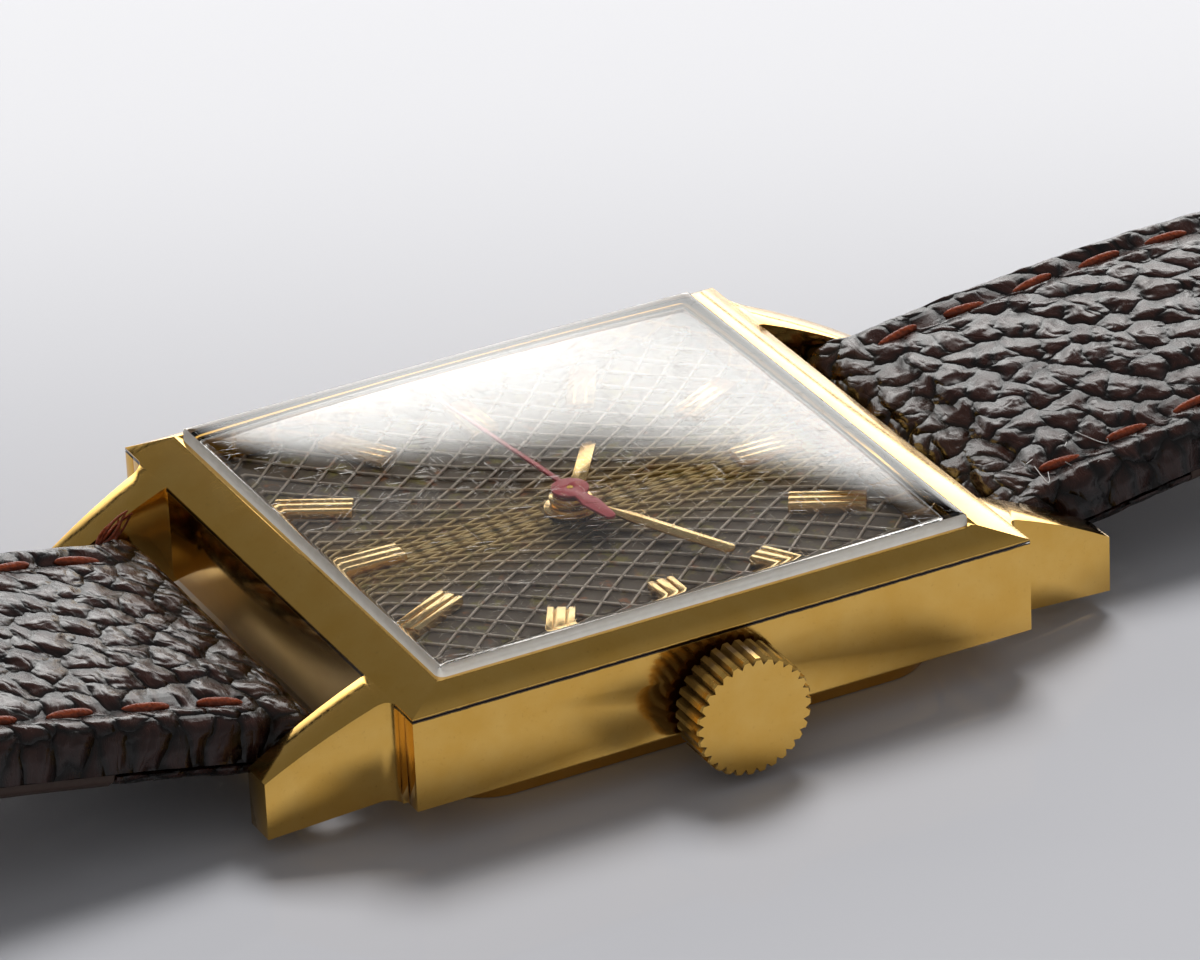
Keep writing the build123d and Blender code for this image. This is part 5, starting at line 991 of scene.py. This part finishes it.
# Dark brown grained leather, waxed to a soft gloss: pebbles about 1.4 mm wide with painted shade in their
# creases, small dimples on them and fine wrinkles, and a paler brown where the fold is rubbed. The plane is
# in millimetres.
pebbles = (0.74, 0.9, 0.85)
dimples = (1.9, 0.6, 0.08)
crease_shade_width = 0.28
wrinkle_depth = 0.03
leather = new_finish("dark_brown_grained_leather")
flat_place = leather.add("UVMap", uv_map="grain")
rub = leather.add("Attribute", output="Fac", attribute_name="worn")
sway = leather.noise(flat_place, 0.55, output=1, noise_dimensions="2D")
swayed = leather.add("VectorMath", {0: sway, 1: (1.3, 1.3, 0), 2: flat_place}, operation="MULTIPLY_ADD")


def leather_cells(scale, stretch, **settings):
    """Distances in a field of cells drawn out along one axis."""
    drawn = leather.add("VectorMath", {0: swayed, 1: (1.0, stretch, 1.0)}, operation="MULTIPLY")
    return leather.add("TexVoronoi", {"Vector": drawn, "Scale": scale}, voronoi_dimensions="2D", **settings)


skin = 0.0
for scale, stretch, depth in (pebbles, dimples):
    hollow = leather.calc("POWER", leather_cells(scale, stretch), 2.0)
    skin = leather.calc("MULTIPLY_ADD", hollow, -depth, skin)
from_edge = leather_cells(*pebbles[:2], feature="DISTANCE_TO_EDGE")
# Painted shade: near-black in the creases between the pebbles.
crease_shade = leather.remap(from_edge, 0.0, crease_shade_width, curve="SMOOTHSTEP")
wrinkle_place = leather.add("VectorMath", {0: swayed, 1: (2.2, 0.8, 1.0)}, operation="MULTIPLY")
wrinkle = leather.noise(wrinkle_place, 1.5, 5.0, 0.6, noise_dimensions="2D")
brown = leather.mix(crease_shade, "#0A0605", leather.mix(wrinkle, "#21100D", "#3E241D"))
rubbed_and_shaded_leather = leather.mix(leather.calc("MULTIPLY", rub, wrinkle), brown, "#47361A")
gloss = leather.remap(wrinkle, 0.3, 0.7, 0.2, 0.32)
skin = leather.calc("MULTIPLY_ADD", wrinkle, wrinkle_depth, skin)
leather_inputs = {"IOR": 1.42, "Normal": leather.relief(skin, mm)}
grained_leather = leather.end(leather.shader(rubbed_and_shaded_leather, gloss, leather_inputs))


def cut_by(mesh, cutters, folded=False):
    """Cuts the closed shapes of another mesh out of a mesh, which may be folded onto itself."""
    body, tool = new_piece("cut_body", mesh), new_piece("cut_tool", cutters)
    cut = body.modifiers.new("cut", "BOOLEAN")
    cut.operation = "DIFFERENCE"
    cut.solver = "EXACT"
    cut.use_self = folded
    cut.object = tool
    finished = baked(body)
    bpy.data.objects.remove(body)
    bpy.data.objects.remove(tool)
    return finished


def punches(name, places, radius):
    """Upright round cutters."""
    work = bmesh.new()
    for x, y in places:
        at = Matrix.Translation((x, y, 5 * mm))
        sizes = {"segments": 40, "radius1": radius, "radius2": radius, "depth": 30 * mm}
        bmesh.ops.create_cone(work, cap_ends=True, matrix=at, **sizes)
    return mesh_of(work, name)


def strap_piece(name, mesh, material, node):
    """A piece of a strap in its leather, in place of its CAD solid."""
    mesh.materials.clear()
    mesh.materials.append(material)
    smooth_to(mesh, 60)
    return settle(new_piece(name, mesh), node)


hole_radius = 0.9 * mm
hole_start = 24 * mm
hole_step = 6.5 * mm
hole_count = 7
hole_runs = [long_run - hole_start - i * hole_step for i in range(hole_count)]
hole_places = [(0, long_line.point(run, 0)[0]) for run in hole_runs]
slot_size = (3 * mm, 4.4 * mm, 8 * mm)
buckle_centre = short_line.point(short_run, 0)

long_stations = top_stations(long_line, long_run - 0.05 * mm, 0.0) + fold_stations(long_line)
long_half = half_of(long_run)
long_mesh = leather_mesh("long_strap_leather", long_stations, long_half, 11, 0.14 * mm, worn_most=0.35)
long_cut = cut_by(long_mesh, punches("long_punches", hole_places, hole_radius), folded=True)
long_leather = strap_piece("long_strap_leather", long_cut, grained_leather, "long_strap")

short_stations = loop_stations(short_line, short_run)
short_stations += top_stations(short_line, short_run, 0.0, loop_at=short_run)
short_stations += fold_stations(short_line)
short_mesh = leather_mesh("short_strap_leather", short_stations, half_of(), 23, 0.3 * mm, worn_most=0.25)
work = bmesh.new()
slot_matrix = Matrix.Translation((0, *buckle_centre)) @ Matrix.Diagonal((*slot_size, 1))
bmesh.ops.create_cube(work, size=1.0)
bmesh.ops.transform(work, matrix=slot_matrix, verts=work.verts)
short_cut = cut_by(short_mesh, mesh_of(work, "slot_cutter"))
short_leather = strap_piece("short_strap_leather", short_cut, grained_leather, "short_strap")

# Linings: smooth brown calf, glued and stitched under each strap from the end of the fold. They are set in
# a little from the leather's edge, and the long one has the same holes.
lining_step = 0.9 * mm
lining_inset = 0.12 * mm
lining_start = fold_run + 0.1 * mm
long_lining_end = long_run - 0.15 * mm
short_lining_end = 72.2 * mm
lining_under = lining_top * 1.04

lining = new_finish("smooth_brown_lining_leather")
place = lining.place()
pores = lining.add("TexVoronoi", {"Vector": place, "Scale": 3600.0})
tan = lining.mix(lining.noise(place, 160.0, 5.0), "#33221A", "#4A3325")
smooth_lining = lining.end(lining.shader(tan, 0.6, {"Normal": lining.relief(pores, 0.03 * mm, 0.6)}))


def lining_mesh(name, line, end, half_at, seed):
    """A lining from the end of the fold to a run."""
    steps = int((end - lining_start) / lining_step)
    runs = [lining_start + (end - lining_start) * k / steps for k in range(steps + 1)]
    stations = [(run, line.point(run, 0), -line.up(run), under, lining_under) for run in runs]
    return leather_mesh(name, stations, half_at, seed, 0.0, depth=0.0, top_columns=24)


long_lining = lining_mesh("long_lining", long_line, long_lining_end, half_of(long_run, lining_inset), 5)
lining_cut = cut_by(long_lining, punches("lining_punches", hole_places, hole_radius))
strap_piece("long_lining", lining_cut, smooth_lining, "long_strap_lining")
short_lining = lining_mesh("short_lining", short_line, short_lining_end, half_of(None, lining_inset), 6)
strap_piece("short_lining", short_lining, smooth_lining, "short_strap_lining")

# Stitches: waxed rust-orange thread, one stitch every 3.5 mm, dipping into the leather at both ends.
# A row follows each edge, and the long strap's row goes round its tip.
stitch_length = 2.2 * mm
stitch_pitch = 3.45 * mm
stitch_tilt = 0.12
stitch_turn = 6.28
thread_radius = 0.27 * mm
stitch_sink = 0.38 * mm
stitch_start = 2.6 * mm
short_stitch_end = 70 * mm

waxed_thread = two_toned("waxed_rust_thread", "#4E1A08", "#A0441A", 0.5, (5200.0,), (0.12 * mm, 0.8))


def tube_mesh(name, lines, radius, sides=7, taper=1.0):
    """Round threads along polylines, each thinning toward its end."""
    points, faces = [], []
    for line in lines:
        first = len(points)
        for i, p in enumerate(line):
            ahead = (line[min(i + 1, len(line) - 1)] - line[max(i - 1, 0)]).normalized()
            aside = ahead.orthogonal().normalized()
            third = ahead.cross(aside)
            thick = radius * (1 + (taper - 1) * i / (len(line) - 1))
            for turn in (2 * pi * k / sides for k in range(sides)):
                points.append(tuple(p + (aside * cos(turn) + third * sin(turn)) * thick))
        faces += ring_faces(len(line), sides, first)
        faces.append(tuple(first + k for k in reversed(range(sides))))
        faces.append(tuple(first + (len(line) - 1) * sides + k for k in range(sides)))
    mesh = new_mesh(name, points, faces)
    smooth_to(mesh, 60)
    return mesh


work = bmesh.new()
bmesh.ops.create_uvsphere(work, u_segments=14, v_segments=12, radius=1.0)
for vert in work.verts:
    fall = sqrt(max(1 - abs(vert.co.z) ** 2.6, 0)) / max(sqrt(vert.co.x**2 + vert.co.y**2), 1e-6)
    vert.co.x *= fall * thread_radius
    vert.co.y *= fall * thread_radius
    vert.co.z *= stitch_length / 2
stitch_mesh = mesh_of(work, "one_stitch")
smooth_to(stitch_mesh, 60)
one_stitch = new_piece("one_stitch", stitch_mesh)

stitch_tree, given = new_shape_tree(
    "stitch_row", (("Pitch", "Float"), ("Stitch", "Object"), ("Thread", "Material"), ("Seed", "Int"))
)
as_curve = shape_node(stitch_tree, "MeshToCurve", {"Mesh": given["Geometry"]})
spaced = {"Curve": as_curve, "Length": given["Pitch"]}
along_row = add_node(stitch_tree, "CurveToPoints", spaced, "GeometryNode", mode="LENGTH").outputs
least, most = (-stitch_tilt, -stitch_tilt, 0.0), (stitch_tilt, stitch_tilt, stitch_turn)
limits = {0: least, 1: most, "Seed": given["Seed"]}
tilt = shape_node(stitch_tree, "RandomValue", limits, prefix="FunctionNode", data_type="FLOAT_VECTOR")
both_turns = {"Rotation": along_row["Rotation"], "Rotate By": tilt}
turned = shape_node(stitch_tree, "RotateRotation", both_turns, prefix="FunctionNode", rotation_space="LOCAL")
source = shape_node(stitch_tree, "ObjectInfo", {"Object": given["Stitch"], "As Instance": True}, "Geometry")
instances = {"Points": along_row["Points"], "Instance": source, "Rotation": turned}
end_shape(stitch_tree, shape_node(stitch_tree, "InstanceOnPoints", instances), given["Thread"])


def stitch_row(line, run, x):
    """A point of a stitch row, sunk a little into the leather's top."""
    return (x, *line.point(run, top_height(run) - stitch_sink))


def stitches(name, rows, body, seed):
    """Rows of stitches as one piece."""
    values = {"Pitch": stitch_pitch, "Stitch": one_stitch, "Thread": waxed_thread, "Seed": seed}
    piece = grown(new_piece(name, line_mesh(name, rows)), stitch_tree, values)
    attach(piece, body)


long_runs = np.linspace(stitch_start, long_run - stitch_inset, 260)
long_side = [(run, max(half_width(run, long_run) - stitch_inset, 0.0)) for run in long_runs]
long_row = [stitch_row(long_line, run, x) for run, x in long_side]
long_row += [stitch_row(long_line, run, -x) for run, x in reversed(long_side)]
stitches("long_strap_stitches", [long_row], "strap_6", 3)
short_runs = np.linspace(stitch_start, short_stitch_end, 160)
short_side = [(run, half_width(run) - stitch_inset) for run in short_runs]
short_rows = [[stitch_row(short_line, run, side * x) for run, x in short_side] for side in (-1, 1)]
stitches("short_strap_stitches", short_rows, "strap_12", 8)
bpy.data.objects.remove(one_stitch)

# Loose ends: the seam's thread has frayed at the lug beside 7 o'clock, and lint clings beside 2 o'clock.
# Both are drawn by one fixed random source, the frayed plies first.
frayed_plies = 7
frayed_length = 2.6 * mm
ply_radius = 0.09 * mm
lint_count = 5
lint_radius = 0.022 * mm


def bowed(start, reach, bow, count):
    """Points from a start to where it reaches, bowed between them."""
    return [start + reach * t + bow * sin(pi * t) for t in np.linspace(0, 1, count)]


random = np.random.default_rng(4)
frayed = []
for k in range(frayed_plies):
    start = Vector((-9.0 * mm, *long_line.point(0.9 * mm, top_height(0) - 0.5 * mm)))
    aside, upward = -0.18 - 0.1 * random.random(), 0.2 + 0.2 * random.random()
    reach = Vector((aside, 0.55 + 0.25 * k / (frayed_plies - 1), upward)) * frayed_length
    frayed.append(bowed(start, reach, Vector(random.normal(0, 0.22, 3).tolist()) * mm, 9))
frayed_mesh = tube_mesh("frayed_thread", frayed, ply_radius, taper=0.5)
frayed_mesh.materials.append(waxed_thread)
frayed_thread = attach(new_piece("frayed_thread", frayed_mesh), "strap_6")

# White cotton lint, matt.
lint = new_finish("white_lint")
fibres = []
for k in range(lint_count):
    start = Vector((8.6 * mm, *short_line.point((0.8 + 4.5 * random.random()) * mm, leather_loop)))
    start.x -= 2.2 * mm * random.random()
    reach = Vector(random.normal(0, 1.2, 3).tolist()) * mm
    reach.z = abs(reach.z) * 0.35
    fibres.append(bowed(start, reach, Vector(random.normal(0, 0.5, 3).tolist()) * mm, 12))
fibre_mesh = tube_mesh("lint_fibres", fibres, lint_radius, sides=4)
fibre_mesh.materials.append(lint.end(lint.shader("#D9D6D2", 0.7)))
lint_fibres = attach(new_piece("lint_fibres", fibre_mesh), "strap_12")

# Keepers: two narrow bands of the same leather round the short strap, one sewn down and one that slides.
# Each section is a flat oval whose ends and faces are squared off by two powers.
keeper_half_length = 2.22 * mm
keeper_half_wall = 0.48 * mm
keeper_mid_x = 8.7 * mm
keeper_mid_low = -1.9 * mm
keeper_mid_high = 3.8 * mm
keeper_corner = 1.5 * mm
keeper_step = 0.3 * mm
keeper_sides = 32
keeper_turns = 4 * 26
keeper_length_power = 0.35
keeper_wall_power = 0.6
keeper_grain_depth = 0.16 * mm
keeper_column = 0.33
fixed_keeper_back = 8.5 * mm
free_keeper_back = 17 * mm


def keeper_loop():
    """The middle line of a keeper once round the strap: places and outward directions."""
    far_x, far_z = keeper_mid_x - keeper_corner, (keeper_mid_high - keeper_mid_low) / 2 - keeper_corner
    corners = []
    for turn in np.linspace(0, 2 * pi, keeper_turns, endpoint=False):
        quarter = int(turn // (pi / 2)) * pi / 2 + pi / 4
        normal = np.array((cos(turn), sin(turn)))
        centre = np.array((np.sign(cos(quarter)) * far_x, np.sign(sin(quarter)) * far_z))
        corners.append((centre + normal * keeper_corner, normal))
    loop = []
    for (place, normal), (following, _) in zip(corners, corners[1:] + corners[:1]):
        steps = max(int(np.linalg.norm(following - place) / keeper_step), 1)
        loop += [(place + (following - place) * k / steps, normal) for k in range(steps)]
    return loop


def bulged(values, power, size):
    """A circle's cosines or sines pushed out toward a square."""
    return np.sign(values) * np.abs(values) ** power * size


def keeper_piece(name, back, node, seed):
    """A band of leather with rounded edges and corners, bent round the strap."""
    up, along = short_line.up(short_run), short_line.along(short_run)
    middle_z = (keeper_mid_low + keeper_mid_high) / 2
    loop = keeper_loop()
    turns = np.linspace(0, 2 * pi, keeper_sides, endpoint=False)
    reach = bulged(np.cos(turns), keeper_length_power, keeper_half_length)
    wall = bulged(np.sin(turns), keeper_wall_power, keeper_half_wall)
    path = np.repeat(travelled(np.array([place for place, normal in loop])), keeper_sides)
    grain = pebble_heights(path, np.tile(reach, len(loop)), seed).reshape(-1, keeper_sides)
    points = []
    for (place, normal), bumps in zip(loop, grain):
        thick = wall - np.where(wall > 0, (1 - bumps) * keeper_grain_depth, 0)
        for a, b in zip(reach, thick):
            x, rise = place + normal * b
            points.append((x, *(buckle_centre + along * (a - back) + up * (rise + middle_z))))
    mesh = new_mesh(name, points, ring_faces(len(loop), keeper_sides, closed=True))
    lay_grain(mesh, path / mm, np.tile(np.arange(keeper_sides) * keeper_column, len(loop)))
    turned_out(mesh)
    strap_piece(name, mesh, grained_leather, node)


keeper_piece("fixed_keeper_band", fixed_keeper_back, "fixed_keeper", 31)
keeper_piece("free_keeper_band", free_keeper_back, "free_keeper", 37)

# Buckle: a bent brass frame and a tongue, gold-plated like the case, their edges well rounded.
# A steel bar through the short strap's loop holds both.
with_broken_edges("buckle_frame", 0.2 * mm, turned_gold, segments=3)
with_broken_edges("buckle_tongue", 0.12 * mm, turned_gold, segments=3)

# Steel: turned and stamped pieces. Arbors, pinions, steel wheels and the tips of the spring bars are
# polished; the click, the levers, the mainspring and the tubes and coils of the spring bars are plain.
bright_steel = worn_metal(
    "polished_steel", ("#D3D5D8", "#B9BCC0", "#8F9195"), (0.08, 0.2), 0, 6000.0, 10.0, 0.0006 * mm
)
dress(bright_steel, "buckle_bar", "winding_stem", "barrel_arbor", "ratchet_wheel", "crown_wheel")
dress(bright_steel, "winding_pinion", "sliding_pinion", "setting_wheel", "cannon_pinion", "pallet_fork")
dress(bright_steel, "escape_wheel")
plain_steel = worn_metal(
    "plain_steel", ("#B0B2B5", "#96989C", "#6F7175"), (0.28, 0.42), 0, 6000.0, 6.0, 0.001 * mm
)
dress(plain_steel, "click", "setting_lever", "yoke", "mainspring")
for hour in ("12", "6"):
    dress(bright_steel, f"spring_bar_tip_{hour}_right", f"spring_bar_tip_{hour}_left")
    dress(plain_steel, f"spring_bar_tube_{hour}", f"spring_bar_spring_{hour}")

# Blued steel: the screws of the bridges and the ratchet wheel, the hairspring and the click spring,
# polished and then heated until they turn blue.
blued_steel = worn_metal(
    "blued_steel", ("#2F4C9A", "#1F2F6B", "#4A3A6A"), (0.1, 0.2), 0, 6000.0, 5.0, 0.0005 * mm
)
dress(blued_steel, "bridge_screws", "ratchet_screw", "hairspring", "click_spring")

# Movement plates: the main plate, bridges and cocks, brass under matt nickel-gold plating with a fine
# frosted grain. The crown's tube, pressed into the case, is finished the same.
frosted_plate = worn_metal(
    "frosted_plated_brass", ("#D9CBA6", "#C7B588", "#A7926A"), (0.3, 0.42), 0, 9000.0, 2.0, 0.0015 * mm
)
dress(frosted_plate, "main_plate", "barrel_bridge", "train_bridge", "balance_cock", "pallet_cock")
dress(frosted_plate, "crown_tube")

# Wheels: the barrel, the train, the hour and minute wheels and the balance, cut from yellow brass and
# lightly brushed.
wheel_brass = worn_metal(
    "wheel_brass", ("#E2BE66", "#C99E44", "#9A7431"), (0.18, 0.3), 0, 7000.0, 6.0, 0.001 * mm
)
dress(wheel_brass, "barrel", "centre_wheel", "third_wheel", "seconds_wheel", "minute_wheel")
dress(wheel_brass, "hour_wheel", "balance_wheel")

# Jewels: synthetic ruby, pressed into the plates and polished, deep pink where light passes through
# and very slightly clouded.
gem = {"IOR": 1.76, "Transmission Weight": 0.5}
dress(two_toned("synthetic_ruby", "#B0123A", "#D2325A", 0.05, (900.0,), inputs=gem), "jewels")

# Gasket and movement ring: black nitrile rubber inside the crown, and a pale grey moulded plastic ring
# that centres the round movement in the square case.
dress(two_toned("black_nitrile_rubber", "#161616", "#242424", 0.55, (3000.0,)), "crown_gasket")
dress(two_toned("moulded_grey_plastic", "#A9A7A2", "#B8B6B1", 0.45, (1800.0,)), "movement_ring")
